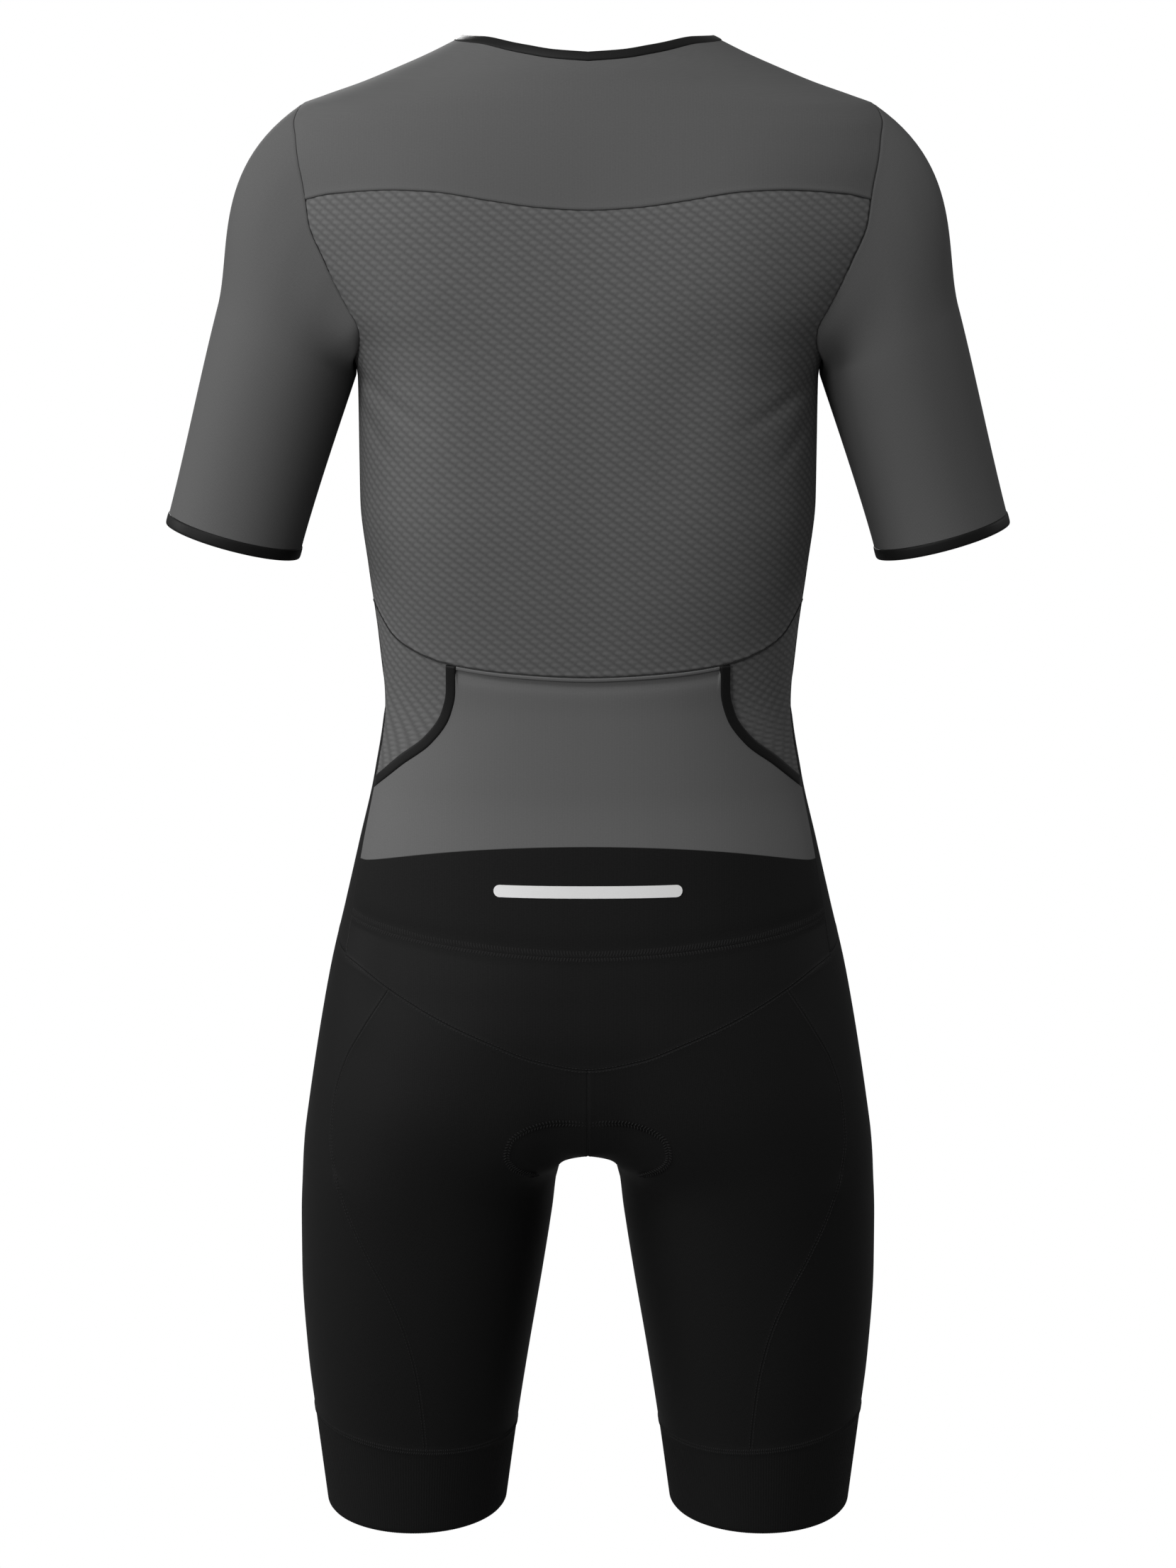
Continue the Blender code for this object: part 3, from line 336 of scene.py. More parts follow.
def rise(first, last, t, side):
    """The seam between the legs, behind (side 1) or in front (-1), even in angle; its heights are
    found by halving."""
    ends = angle_across(0.0, np.array([first, last]))
    angle = between(ends[0], ends[1], t)
    low = np.full(angle.shape, min(first, last))
    high = np.full(angle.shape, max(first, last))
    for _ in range(50):
        half = (low + high) / 2
        wide = angle_across(0.0, half) > angle
        low = np.where(wide, half, low)
        high = np.where(wide, high, half)
    return places(side * angle, (low + high) / 2)


def inseam(first, last, t, side):
    return places(side * pi, between(first, last, t))


def leg_seam(first, last, t):
    height = between(first, last, t)
    return places(angle_across(smooth(LEG_SEAM, height), height), height)


def band_height(angle):
    """Tilted up to the outer side, and dipped behind by the square of the sine."""
    return (BAND_SEAM + BAND_SEAM_RISE * np.cos(angle)
            - BAND_SEAM_DIP * np.maximum(np.sin(angle), 0) ** 2)


def along_binding(offset, last_height, t):
    """The line beside the middle of the pocket binding, at an offset to its outer side."""
    rows = np.array(POCKET_BINDING)
    length = run_along(rows, 0)
    track = [(float(l / length[-1]), float(r[0]), float(r[1])) for l, r in zip(length, rows)]
    dense = np.linspace(0, 1, 241)
    height = smooth(track, dense, 2)
    line = places(angle_across(smooth(track, dense, 1), height), height)
    square = np.cross(np.gradient(body(line), axis=0), outward(line))
    square /= np.linalg.norm(square, axis=1)[:, None]
    line = place_of(body(line) + offset * square)
    line[:, 1] += (last_height - line[-1, 1]) * dense ** 6
    line[-1, 0] = side_angle(last_height)
    return np.stack([np.interp(t, dense, line[:, 0]), np.interp(t, dense, line[:, 1])], axis=-1)


# ------------------------------------------------------------ grids and sheets of cloth


def bell(far, width):
    """exp(-(far / width)^2)"""
    return np.exp(-(far / width) ** 2)


def shares(length, step, fine=0.0005, knots=()):
    """Shares 0 to 1 of an edge of that length: `fine` apart at its ends and growing by half each
    time, up to `step` in between."""
    ends = fine * np.cumsum(1.5 ** np.arange(int(np.log(step / fine) / np.log(1.5)) + 1))
    middle = length - 2 * ends[-1]
    count = max(2, int(round(middle / step)))
    run = np.concatenate([[0.0], ends, ends[-1] + middle * np.arange(1, count) / count,
                          length - ends[::-1], [length]]) / length
    for knot in knots:
        run[np.argmin(np.abs(run - knot))] = knot
    return run


def patch(bottom, top, left, right, u, v):
    """Coons patch: the two ruled surfaces between opposite edges, less the bilinear one."""
    u = u[None, :, None]
    v = v[:, None, None]
    ruled = (1 - v) * bottom[None] + v * top[None] + (1 - u) * left[:, None] + u * right[:, None]
    corners = ((1 - v) * ((1 - u) * bottom[0] + u * bottom[-1])
               + v * ((1 - u) * top[0] + u * top[-1]))
    return ruled - corners


def run_along(points, axis):
    """Lengths along a grid's rows (axis 1) or columns (axis 0), from the first point."""
    step = np.linalg.norm(np.diff(points, axis=axis), axis=-1)
    zero = np.zeros_like(np.take(step, [0], axis=axis))
    return np.concatenate([zero, np.cumsum(step, axis=axis)], axis=axis)


class Sheet:
    """A grid of cloth: points, the directions square to them, its own flat coordinates in metres
    and the distances to its four edges. Rows run up and columns from the back to the front."""

    def __init__(self, points, normals, u=None, v=None):
        self.points = points
        self.normals = normals
        wide = run_along(points, 1)
        high = run_along(points, 0)
        self.u = wide if u is None else u
        self.v = high if v is None else v
        self.edge = {"back": wide, "front": wide[:, -1:] - wide,
                     "bottom": high, "top": high[-1:] - high}
        self.rise = np.zeros(wide.shape)

    def mirror(self):
        flip = np.array([-1.0, 1.0, 1.0])
        other = Sheet(self.points[:, ::-1] * flip, self.normals[:, ::-1] * flip,
                      -self.u[:, ::-1], self.v[:, ::-1])
        other.edge = {name: far[:, ::-1] for name, far in self.edge.items()}
        other.rise = self.rise[:, ::-1]
        return other

    def whole(self):
        """With its mirror image, joined along the first column."""
        other = self.mirror()
        joined = Sheet(*(np.concatenate([a[:, :-1], b], axis=1) for a, b in (
            (other.points, self.points), (other.normals, self.normals),
            (other.u, self.u), (other.v, self.v))))
        joined.edge = {name: np.concatenate([other.edge[name][:, :-1], self.edge[name]], axis=1)
                       for name in self.edge}
        joined.rise = np.concatenate([other.rise[:, :-1], self.rise], axis=1)
        return joined

    def shaped(self):
        return self.points + self.rise[..., None] * self.normals


def level_length(place):
    """Flat height of a place: the length of the middle of the back below the neck."""
    dense = np.linspace(0.03, HEM, 400)
    line = body(places(pi / 2, dense))
    length = run_along(line, 0)
    return -np.interp(-place[..., 1], -dense, length)


BLADE_SWELL = 0.0036
SPINE_HOLLOW = 0.0034


def back_form(points):
    """The hollow along the middle of the upper back and the soft swell on each side of it: two
    bells across, which fade below the neck and above the waist."""
    x, y, z = np.abs(points[..., 0]), points[..., 1], points[..., 2]
    window = step_up(-z, 0.010, 0.100) * step_up(z, -0.450, -0.300) * step_up(y, 0.020, 0.060)
    return window * (BLADE_SWELL * bell(x - 0.112, 0.046) - SPINE_HOLLOW * bell(x, 0.056))


def trunk_sheet(grid):
    points = body(grid)
    flat = points * [1.0, 1.0, 0.0]
    sheet = Sheet(points, outward(grid), run_along(flat, 1), level_length(grid))
    sheet.rise = back_form(points)
    return sheet


# ------------------------------------------------------------ relief

RELIEF_MESH = 0.00019           # height of a lozenge of the mesh
# The mesh's lozenges are a sum of waves. Columns: waves a metre across and up, height, start in
# degrees. The first falls to the right, the second to the left, and the third crosses both.
MESH_WAVES = (
    (-106.0, 148.3, 0.110, 0.0),
    (-117.9, -137.4, 0.053, 0.0),
    (-11.9, -285.7, 0.057, -12.0),
    (-212.0, 296.6, 0.020, 180.0),
    (-223.9, 10.9, 0.018, 55.0),
    (-235.8, -274.8, 0.017, 120.0),
    (-341.8, -126.5, 0.014, -145.0),
)


def lozenges(u, v):
    """The sum of the three long waves, height cos(2 pi (across u + up v) + start), as -1 to 1."""
    total = sum(height * np.cos(2 * pi * (across * u + up * v) + radians(start))
                for across, up, height, start in MESH_WAVES[:3])
    return total / sum(wave[2] for wave in MESH_WAVES[:3])


# How the cloth runs into a seam, as a height over the distance from it.
SEAMS = {
    "turned": lambda far: -0.00040 * bell(far, 0.0006) + 0.00016 * bell(far - 0.0020, 0.0010),
    "over": lambda far: 0.00040 * bell(far - 0.0014, 0.0012) - 0.00035 * bell(far, 0.0005),
    "under": lambda far: -0.00045 * bell(far, 0.0018),
    "piped": lambda far: -0.0011 * bell(far - 0.0062, 0.0034),
    "twin": lambda far: -0.00020 * bell(far, 0.0004) + 0.00024 * bell(far - 0.0011, 0.0006),
    "band": lambda far: 0.00034 * 0.5 * (1 - np.tanh((far - 0.0044) / 0.00060)),
    "narrow_band": lambda far: 0.00030 * 0.5 * (1 - np.tanh((far - 0.0026) / 0.00040)),
    "hem": lambda far: -0.0012 * bell(far, 0.0012),
}


def sew(sheet, **edges):
    """Raises and lowers a sheet beside its edges, each named with the kind of its seam."""
    for name, kind in edges.items():
        sheet.rise = sheet.rise + SEAMS[kind](sheet.edge[name])
    return sheet


# Soft folds of the trunk and the legs. Columns: name, places along the fold (angle in degrees,
# height), half width, depth (a ridge is negative).
FOLDS = (
    ("under the arm, behind", ((12, -0.207), (34, -0.222), (54, -0.246)), 0.0065, 0.0014),
    ("beside it", ((12, -0.226), (28, -0.246), (42, -0.274)), 0.0070, 0.0011),
    ("under the arm, in front", ((-6, -0.205), (-34, -0.226), (-58, -0.250)), 0.010, 0.0024),
    ("below that", ((-4, -0.236), (-30, -0.266), (-50, -0.286)), 0.012, 0.0017),
    ("waist, side", ((40, -0.446), (14, -0.440), (-20, -0.448)), 0.010, 0.0018),
    ("waist, front", ((-24, -0.470), (-48, -0.462), (-70, -0.474)), 0.011, 0.0016),
    ("shoulder blade", ((58, -0.150), (66, -0.215), (70, -0.300)), 0.026, 0.0016),
)


# The sewn edge of the seat pad, on one side. Columns: angle in degrees, height.
PAD_EDGE = ((122.1, -0.7332), (111.6, -0.7322), (104.3, -0.7366), (102.0, -0.7447),
            (105.3, -0.7572), (117.2, -0.7723), (134.8, -0.7826), (156.0, -0.7930),
            (180.0, -0.7990), (204.0, -0.7960), (226.0, -0.7850), (243.0, -0.7600),
            (250.0, -0.7250), (252.0, -0.6900), (246.0, -0.6650), (239.0, -0.6580))
PAD_RIDGE = (("pad's edge", tuple((angle if angle <= 180 else angle - 360, height)
                                 for angle, height in PAD_EDGE[:8]), 0.0034, -0.00022),)


def folds(points, table=FOLDS, steps=90):
    """Depth of the folds at points: each is a bell across its line, which fades at its ends."""
    total = np.zeros(points.shape[:-1])
    spot = np.stack([np.abs(points[..., 0]), points[..., 1], points[..., 2]], axis=-1)
    for _, way, width, depth in table:
        rows = np.array(way, float)
        t = np.linspace(0, 1, steps)
        share = np.linspace(0, 1, len(rows))
        line = body(places(np.radians(np.interp(t, share, rows[:, 0])),
                           np.interp(t, share, rows[:, 1])))
        near = np.full(points.shape[:-1], 1e9)
        fade = np.zeros(points.shape[:-1])
        for k, spot_on in enumerate(line):
            far = ((spot - spot_on) ** 2).sum(axis=-1)
            closer = far < near
            near = np.where(closer, far, near)
            fade = np.where(closer, sin(pi * min(max(t[k], 0.02), 0.98)) ** 0.7, fade)
        total = total - depth * fade * np.exp(-near / width ** 2)
    return total


# ------------------------------------------------------------ materials


def linear(hex_colour):
    """sRGB hex to linear light: v / 12.92 in the dark, and ((v + 0.055) / 1.055) ^ 2.4 above."""
    value = [int(hex_colour[i:i + 2], 16) / 255 for i in (1, 3, 5)]
    return [v / 12.92 if v <= 0.04045 else ((v + 0.055) / 1.055) ** 2.4 for v in value] + [1.0]


def node(tree, kind, links=None, **settings):
    """Adds a node. Settings are its properties or, where a name matches one, an input's value."""
    made = tree.nodes.new(kind)
    for name, value in settings.items():
        if hasattr(made, name):
            setattr(made, name, value)
        else:
            key = int(name[1:]) if name[0] == "i" and name[1:].isdigit() else name.replace("_", " ")
            made.inputs[key].default_value = value
    for name, source in (links or {}).items():
        tree.links.new(source, made.inputs[name])
    return made


def new_material(name):
    made = bpy.data.materials.new(name)
    made.use_nodes = True
    tree = made.node_tree
    return made, tree, tree.nodes["Principled BSDF"]


def set_stops(ramp, *stops):
    """Gives a ramp its two stops, each a position and a colour."""
    for element, (position, colour) in zip(ramp.color_ramp.elements, stops):
        element.position = position
        element.color = colour


MESH_TONES = 0.30               # most that the waves add up to
MESH_PAINTED_SHADING = 1.18            # painted shade and light in the mesh's colour, by its relief's waves, while its relief gives the rest
WALE = 0.0009                   # between the columns of loops; drawn three times as coarse as real
WALE_SCALE = 0.314              # of the wave texture, times its wavelength in metres
WALE_SHARE = 0.35               # share of the columns in the grain, against the yarn's mottle
THREAD_GRAIN = 900.0            # grains a metre of that mottle
LOW_STOP, HIGH_STOP = 0.30, 0.70    # where the grain is all of its darker and its paler tone


def knit(name, colour, light_colour, roughness, specular, wale=WALE, bump=0.00006):
    """Warp-knitted polyamide and elastane: fine upright columns of loops with the yarn's own
    mottle, and a soft satin surface."""
    made, tree, shader = new_material(name)
    flat = node(tree, "ShaderNodeUVMap", uv_map="cloth").outputs[0]
    wales = node(tree, "ShaderNodeTexWave", {"Vector": flat}, wave_type="BANDS",
                 bands_direction="X", wave_profile="SIN", Scale=WALE_SCALE / wale, Distortion=1.2,
                 Detail=2.0, Detail_Scale=3.0)
    mottle = node(tree, "ShaderNodeTexNoise", {"Vector": flat}, Scale=THREAD_GRAIN, Detail=3.0)
    both = node(tree, "ShaderNodeMix", {2: mottle.outputs["Fac"], 3: wales.outputs["Fac"]},
                data_type="FLOAT", i0=WALE_SHARE)
    ramp = node(tree, "ShaderNodeValToRGB", {"Fac": both.outputs[0]})
    set_stops(ramp, (LOW_STOP, linear(colour)), (HIGH_STOP, linear(light_colour)))
    tree.links.new(ramp.outputs[0], shader.inputs["Base Color"])
    raised = node(tree, "ShaderNodeBump", {"Height": both.outputs[0]}, Distance=bump, Strength=0.5)
    tree.links.new(raised.outputs[0], shader.inputs["Normal"])
    shader.inputs["Roughness"].default_value = roughness
    shader.inputs["Specular IOR Level"].default_value = specular
    return made, tree, shader, ramp


def mesh_knit(name, colour):
    """Raised lozenge mesh: satin lozenges, with painted light on them and painted shade in the open
    grooves between them by the same waves as their relief, and the yarn's own mottle."""
    made, tree, shader = new_material(name)
    flat = node(tree, "ShaderNodeUVMap", uv_map="cloth").outputs[0]
    mottle = node(tree, "ShaderNodeTexNoise", {"Vector": flat}, Scale=THREAD_GRAIN, Detail=3.0)
    total = node(tree, "ShaderNodeMath", {0: mottle.outputs["Fac"]}, operation="MULTIPLY_ADD",
                 i1=0.10, i2=-0.05)
    for across, up, height, start in MESH_WAVES:
        phase = node(tree, "ShaderNodeVectorMath", {0: flat}, operation="DOT_PRODUCT",
                     i1=(2 * pi * across, 2 * pi * up, 0.0))
        moved = node(tree, "ShaderNodeMath", {0: phase.outputs["Value"]}, operation="ADD",
                     i1=radians(start))
        wave = node(tree, "ShaderNodeMath", {0: moved.outputs[0]}, operation="COSINE")
        total = node(tree, "ShaderNodeMath", {0: wave.outputs[0], 2: total.outputs[0]},
                     operation="MULTIPLY_ADD", i1=height)
    share = node(tree, "ShaderNodeMath", {0: total.outputs[0]}, operation="MULTIPLY_ADD",
                 i1=0.5 / MESH_TONES, i2=0.5)
    ramp = node(tree, "ShaderNodeValToRGB", {"Fac": share.outputs[0]})
    middle = np.array(linear(colour)[:3])
    # painted shade and light: the colour swings darker in the grooves and paler on the lozenges
    painted_swing = MESH_PAINTED_SHADING * MESH_TONES
    set_stops(ramp, (0.0, [*(middle * (1 - painted_swing)), 1.0]), (1.0, [*(middle * (1 + painted_swing)), 1.0]))
    tree.links.new(ramp.outputs[0], shader.inputs["Base Color"])
    bump = node(tree, "ShaderNodeBump", {"Height": share.outputs[0]}, Distance=0.00010,
                Strength=0.5)
    tree.links.new(bump.outputs[0], shader.inputs["Normal"])
    shader.inputs["Roughness"].default_value = 0.80
    shader.inputs["Specular IOR Level"].default_value = 0.06
    return made


PRINT_HEIGHT = -0.5347          # where the two tones meet at the middle of the back
PRINT_SOFTNESS = 0.0003         # half the width over which they meet
PRINT_BOW = 0.59                # how they fall to the sides, by the square
PRINT_BOW_FOURTH = 11.0         # and the fourth power of the distance


def two_tone(name, below, below_light, above, above_light):
    """Smooth knit dyed in two tones that meet on a shallow arch across the pocket."""
    made, tree, shader, ramp = knit(name, above, above_light, 0.68, 0.07)
    place = node(tree, "ShaderNodeTexCoord").outputs["Object"]
    parts = node(tree, "ShaderNodeSeparateXYZ", {0: place})
    square = node(tree, "ShaderNodeMath", {0: parts.outputs["X"], 1: parts.outputs["X"]},
                  operation="MULTIPLY")
    fourth = node(tree, "ShaderNodeMath", {0: square.outputs[0], 1: square.outputs[0]},
                  operation="MULTIPLY")
    bow = node(tree, "ShaderNodeMath", {0: square.outputs[0], 2: parts.outputs["Z"]},
               operation="MULTIPLY_ADD", i1=PRINT_BOW)
    arch = node(tree, "ShaderNodeMath", {0: fourth.outputs[0], 2: bow.outputs[0]},
                operation="MULTIPLY_ADD", i1=PRINT_BOW_FOURTH)
    over = node(tree, "ShaderNodeMapRange", {"Value": arch.outputs[0]},
                From_Min=PRINT_HEIGHT - PRINT_SOFTNESS, From_Max=PRINT_HEIGHT + PRINT_SOFTNESS)
    dark = node(tree, "ShaderNodeValToRGB", {"Fac": ramp.inputs["Fac"].links[0].from_socket})
    set_stops(dark, (LOW_STOP, linear(below)), (HIGH_STOP, linear(below_light)))
    mix = node(tree, "ShaderNodeMix", data_type="RGBA")
    tree.links.new(over.outputs[0], mix.inputs["Factor"])
    tree.links.new(dark.outputs[0], mix.inputs[6])
    tree.links.new(ramp.outputs[0], mix.inputs[7])
    tree.links.new(mix.outputs[2], shader.inputs["Base Color"])
    return made


# Warp knits: soft satin, the greys more matt than the blacks
GREY_KNIT = knit("warp_knit_grey", "#575757", "#5D5D5D", 0.80, 0.05)[0]
BLACK_KNIT = knit("warp_knit_black", "#161616", "#1D1D1D", 0.52, 0.07)[0]
TWO_TONE_KNIT = two_tone("warp_knit_two_tone", "#161616", "#1D1D1D", "#606060", "#666666")
GREY_MESH = mesh_knit("lozenge_mesh_grey", "#5E5E5E")
# Ribs, folded elastic and sewing threads: a little glossier, and finer in grain
RIB_KNIT = knit("rib_knit_black", "#141414", "#1A1A1A", 0.65, 0.10)[0]
BINDING = knit("folded_elastic_black", "#151515", "#1B1B1B", 0.50, 0.12, wale=0.0006)[0]
THREAD = knit("polyester_thread_black", "#1E1E1E", "#262626", 0.45, 0.20, wale=0.0003)[0]
COVER_THREAD = knit("textured_yarn_black", "#202020", "#282828", 0.75, 0.06, wale=0.0003)[0]
# a very dark line, darker than the black knit, that paints the shadow below the waist's fold
PAINTED_SHADOW_LINE = knit("painted_shadow_line_black", "#0A0A0A", "#0F0F0F", 0.60, 0.05, wale=0.0003)[0]
ROLLED_EDGE = knit("rolled_edge_grey", "#606060", "#666666", 0.55, 0.12, wale=0.0006)[0]
# dark grey thread of the yoke and armhole seams, which also paints their grooves' shade
THREAD_AND_SHADE_GREY = knit("thread_and_seam_shade_grey", "#2A2A2A", "#323232", 0.45, 0.15, wale=0.0003)[0]


def plain_material(name, colour, roughness, metallic=0.0):
    """Moulded, lacquered or pressed: one tone with a fine grain in its colour and gloss."""
    made, tree, shader = new_material(name)
    grain = node(tree, "ShaderNodeTexNoise", {"Vector": node(
        tree, "ShaderNodeTexCoord").outputs["Object"]}, Scale=2500.0, Detail=2.0)
    ramp = node(tree, "ShaderNodeValToRGB", {"Fac": grain.outputs["Fac"]})
    set_stops(ramp, (0.0, [c * 0.85 for c in linear(colour)[:3]] + [1.0]), (1.0, linear(colour)))
    tree.links.new(ramp.outputs[0], shader.inputs["Base Color"])
    bump = node(tree, "ShaderNodeBump", {"Height": grain.outputs["Fac"]}, Distance=0.00002)
    tree.links.new(bump.outputs[0], shader.inputs["Normal"])
    shader.inputs["Roughness"].default_value = roughness
    shader.inputs["Metallic"].default_value = metallic
    return made


# Polyamide coil, satin; lacquered die-cast zinc, glossy; film of glass beads, which shines back
COIL = plain_material("moulded_coil_black", "#191919", 0.42)
LACQUER = plain_material("lacquered_zinc_black", "#202124", 0.30, 0.6)
REFLECTIVE = plain_material("heat_pressed_film_silver", "#F2F2F2", 0.35)

# ------------------------------------------------------------ meshes from grids


def grid_faces(rows, columns, ring):
    """Quads between the points of a grid, and round to its first column where it is a ring."""
    i, j = np.meshgrid(np.arange(rows - 1), np.arange(columns if ring else columns - 1),
                       indexing="ij")
    k = (j + 1) % columns
    corners = np.stack([i * columns + j, (i + 1) * columns + j, (i + 1) * columns + k,
                        i * columns + k], axis=-1)
    return corners.reshape(-1, 4)


def build_mesh(name, points, faces, flat):
    """A mesh from arrays of points and quads, with its flat coordinates as the UV map "cloth"."""
    mesh = bpy.data.meshes.new(name)
    mesh.from_pydata(points.reshape(-1, 3), [], faces)
    layer = mesh.uv_layers.new(name="cloth")
    layer.data.foreach_set("uv", flat.reshape(-1).astype(np.float32))
    mesh.shade_smooth()
    return mesh


def finish_piece(name, mesh, material, replaces=()):
    mesh.materials.append(material)
    piece = bpy.data.objects.new(name, mesh)
    bpy.context.scene.collection.objects.link(piece)
    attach(piece, "suit")
    if replaces:
        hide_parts(*replaces)
    return piece


def cloth(name, sheets, material, replaces=(), wall=CLOTH, ring=False):
    """One piece of cloth from sheets that share edges, thickened inward by a Solidify. Its raw
    edges are sharp, so that the light runs on evenly across a seam."""
    points, faces, flats, count = [], [], [], 0
    for sheet in sheets:
        rows, columns = sheet.points.shape[:2]
        quads = grid_faces(rows, columns, ring)
        flat = np.stack([sheet.u, sheet.v], axis=-1)
        loops = flat.reshape(-1, 2)[quads]
        if ring:
            around = flat[:, -1, 0] - flat[:, 0, 0]
            last = (quads % columns)[:, 0] == columns - 1
            extra = np.mean(around) * columns / (columns - 1)
            loops[last, 2:, 0] += extra
        points.append(sheet.shaped().reshape(-1, 3))
        faces.append(quads + count)
        flats.append(loops)
        count += rows * columns
    mesh = build_mesh(name, np.concatenate(points), np.concatenate(faces), np.concatenate(flats))
    bm = bmesh.new()
    bm.from_mesh(mesh)
    if len(sheets) > 1:
        bmesh.ops.remove_doubles(bm, verts=bm.verts, dist=0.00002)
    for edge in bm.edges:
        edge.smooth = not edge.is_boundary
    bm.to_mesh(mesh)
    bm.free()
    piece = finish_piece(name, mesh, material, replaces)
    solidify = piece.modifiers.new("Wall", "SOLIDIFY")
    solidify.thickness = wall
    solidify.offset = -1


def cloth_pair(name, sheet, material, ring=False):
    for side, made in (("left", sheet), ("right", sheet.mirror())):
        cloth(f"{name}_{side}_shell", [made], material, [f"{name}_{side}"], ring=ring)


# ------------------------------------------------------------ the panels

STEP = 0.0034                   # between the points of smooth cloth
WIDE_STEP = 0.0045              # where it is plain
MESH_STEP = 0.0017              # and of the mesh, up it
MESH_STEP_ACROSS = 0.0025       # and across it, where its lozenges are longer
RIB_STEP = 0.0075               # down the ribs

YOKE_END = -0.0876              # height at which the yoke's seam meets the armhole
YOKE_CORNER = np.degrees(np.arccos((2 * YOKE_END - ARMHOLE_TOP - ARMHOLE_BOTTOM)
                                   / (ARMHOLE_TOP - ARMHOLE_BOTTOM)))
YOKE_CORNER_PLACE = armhole(YOKE_CORNER, YOKE_CORNER, [0.0])[0]
UNDERARM_HEIGHT = float(armhole(UNDERARM_ANGLE, UNDERARM_ANGLE, [0.0])[0, 1])


def back_yoke():
    """A Coons patch between the yoke seam, the armhole, the shoulder seam and the neck, and its
    mirror image."""
    u = shares(0.21, WIDE_STEP)
    v = shares(0.19, STEP, knots=[YOKE_MIDDLE_SHARE])
    bottom = across(YOKE_SEAM, pi / 2, YOKE_CORNER_PLACE[0], u)
    right = armhole(YOKE_CORNER, SHOULDER_SEAM_ANGLE, v)
    top_left = neck(SHOULDER_SEAM_NECK, SHOULDER_SEAM_NECK, [0.0])[0]
    neck_low = neck(90.0, 90.0, [0.0])[0]
    left = chain(v, YOKE_MIDDLE_SHARE, lambda t: middle_back(bottom[0, 1], neck_low[1], t),
                 lambda t: neck(90.0, SHOULDER_SEAM_NECK, t))
    right[0] = bottom[-1]
    top = top_left + (right[-1] - top_left) * u[:, None]
    sheet = trunk_sheet(patch(bottom, top, left, right, u, v))
    sew(sheet, bottom="over", front="turned", top="turned")
    cloth("back_yoke_shell", [sheet, sheet.mirror()], GREY_KNIT, ["back_yoke"])


def back_panel():
    """A Coons patch of half the mesh back, with its mirror image, its creases and its lozenges."""
    u = shares(0.21, MESH_STEP_ACROSS)
    v = shares(0.34, MESH_STEP, knots=[BACK_SIDE_SHARE])
    arc_end = side_end(ARC_SEAM)
    bottom = across(ARC_SEAM, pi / 2, side_angle(arc_end), u)
    right = chain(v, BACK_SIDE_SHARE, lambda t: side_seam(arc_end, UNDERARM_HEIGHT, t),
                  lambda t: armhole(UNDERARM_ANGLE, YOKE_CORNER, t))
    top = across(YOKE_SEAM, pi / 2, YOKE_CORNER_PLACE[0], u)
    right[-1] = top[-1]
    left = middle_back(bottom[0, 1], top[0, 1], v)
    sheet = trunk_sheet(patch(bottom, top, left, right, u, v))
    sew(sheet, bottom="over", front="turned", top="under")
    sheet.rise = sheet.rise + folds(sheet.points)
    whole = sheet.whole()
    whole.rise = whole.rise + RELIEF_MESH * (lozenges(whole.u, whole.v) - 1)
    cloth("back_panel_shell", [whole], GREY_MESH, ["back_panel"])


POCKET_PUFF = 0.0018            # how far the pocket panel stands off the lower back
POCKET_SEAM_LIFT = 0.0003       # and how far where it is sewn down
POCKET_SEAM_REACH = 0.010       # over what distance it rises from its seams
UNDER_POCKET = 0.0006           # how far the lower back is sunk beneath it
PAST_CORNER = 2.0               # how fast the rolled edge's hollow ends past the pocket's corner
BINDING_HALF = POCKET_BINDING_WIDTH / 2


def pocket_grid():
    """Places of the pocket panel's left half, and their shares across it."""
    height = smooth(ARC_SEAM, POCKET_BINDING[0][0])
    inner_top = float(angle_across(POCKET_BINDING[0][0] - BINDING_HALF, height))
    waist_end = side_end(WAIST_SEAM)
    u = np.concatenate([shares(0.10, STEP) * POCKET_TOP_SHARE,
                        POCKET_TOP_SHARE + shares(0.13, STEP)[1:] * (1 - POCKET_TOP_SHARE)])
    v = shares(0.19, STEP)
    bottom = across(WAIST_SEAM, angle_across(0.0, WAIST_SEAM[0][1]), side_angle(waist_end), u)
    top = chain(u, POCKET_TOP_SHARE, lambda t: across(ARC_SEAM, pi / 2, inner_top, t),
                lambda t: along_binding(-BINDING_HALF, BINDING_LOW_END, t))
    left = middle_back(bottom[0, 1], top[0, 1], v)
    right = side_seam(waist_end, BINDING_LOW_END, v)
    return patch(bottom, top, left, right, u, v), u


def lower_back():
    """Three Coons patches a side: under the pocket, under its binding, and the mesh flank."""
    under = trunk_sheet(pocket_grid()[0])
    under.rise -= UNDER_POCKET * (1 - bell(under.edge["top"], 0.004))
    t = shares(0.13, MESH_STEP)
    strip = []
    for offset, end in ((-BINDING_HALF, BINDING_LOW_END), (BINDING_HALF, BINDING_HIGH_END)):
        line = along_binding(offset, end, t)
        x = POCKET_BINDING[0][0] + offset
        angle = float(angle_across(x, smooth(ARC_SEAM, POCKET_BINDING[0][0])))
        line[0] = across(ARC_SEAM, angle, angle, [0.0])[0]
        strip.append(line)
    outer = strip[1]
    arc_end = side_end(ARC_SEAM)
    u = shares(0.06, MESH_STEP)
    v = 1 - t[::-1]
    flank = trunk_sheet(patch(np.repeat(outer[-1:], len(u), axis=0),
                              across(ARC_SEAM, outer[0, 0], side_angle(arc_end), u),
                              outer[::-1], side_seam(BINDING_HIGH_END, arc_end, v), u, v))
    sew(flank, top="under", front="turned")
    flank.rise = flank.rise + RELIEF_MESH * (lozenges(flank.u, flank.v) - 1)
    halves = (under, flank, trunk_sheet(np.stack(strip)))
    cloth("lower_back_shell", [sheet for half in halves for sheet in (half, half.mirror())],
          GREY_MESH, ["lower_back"])


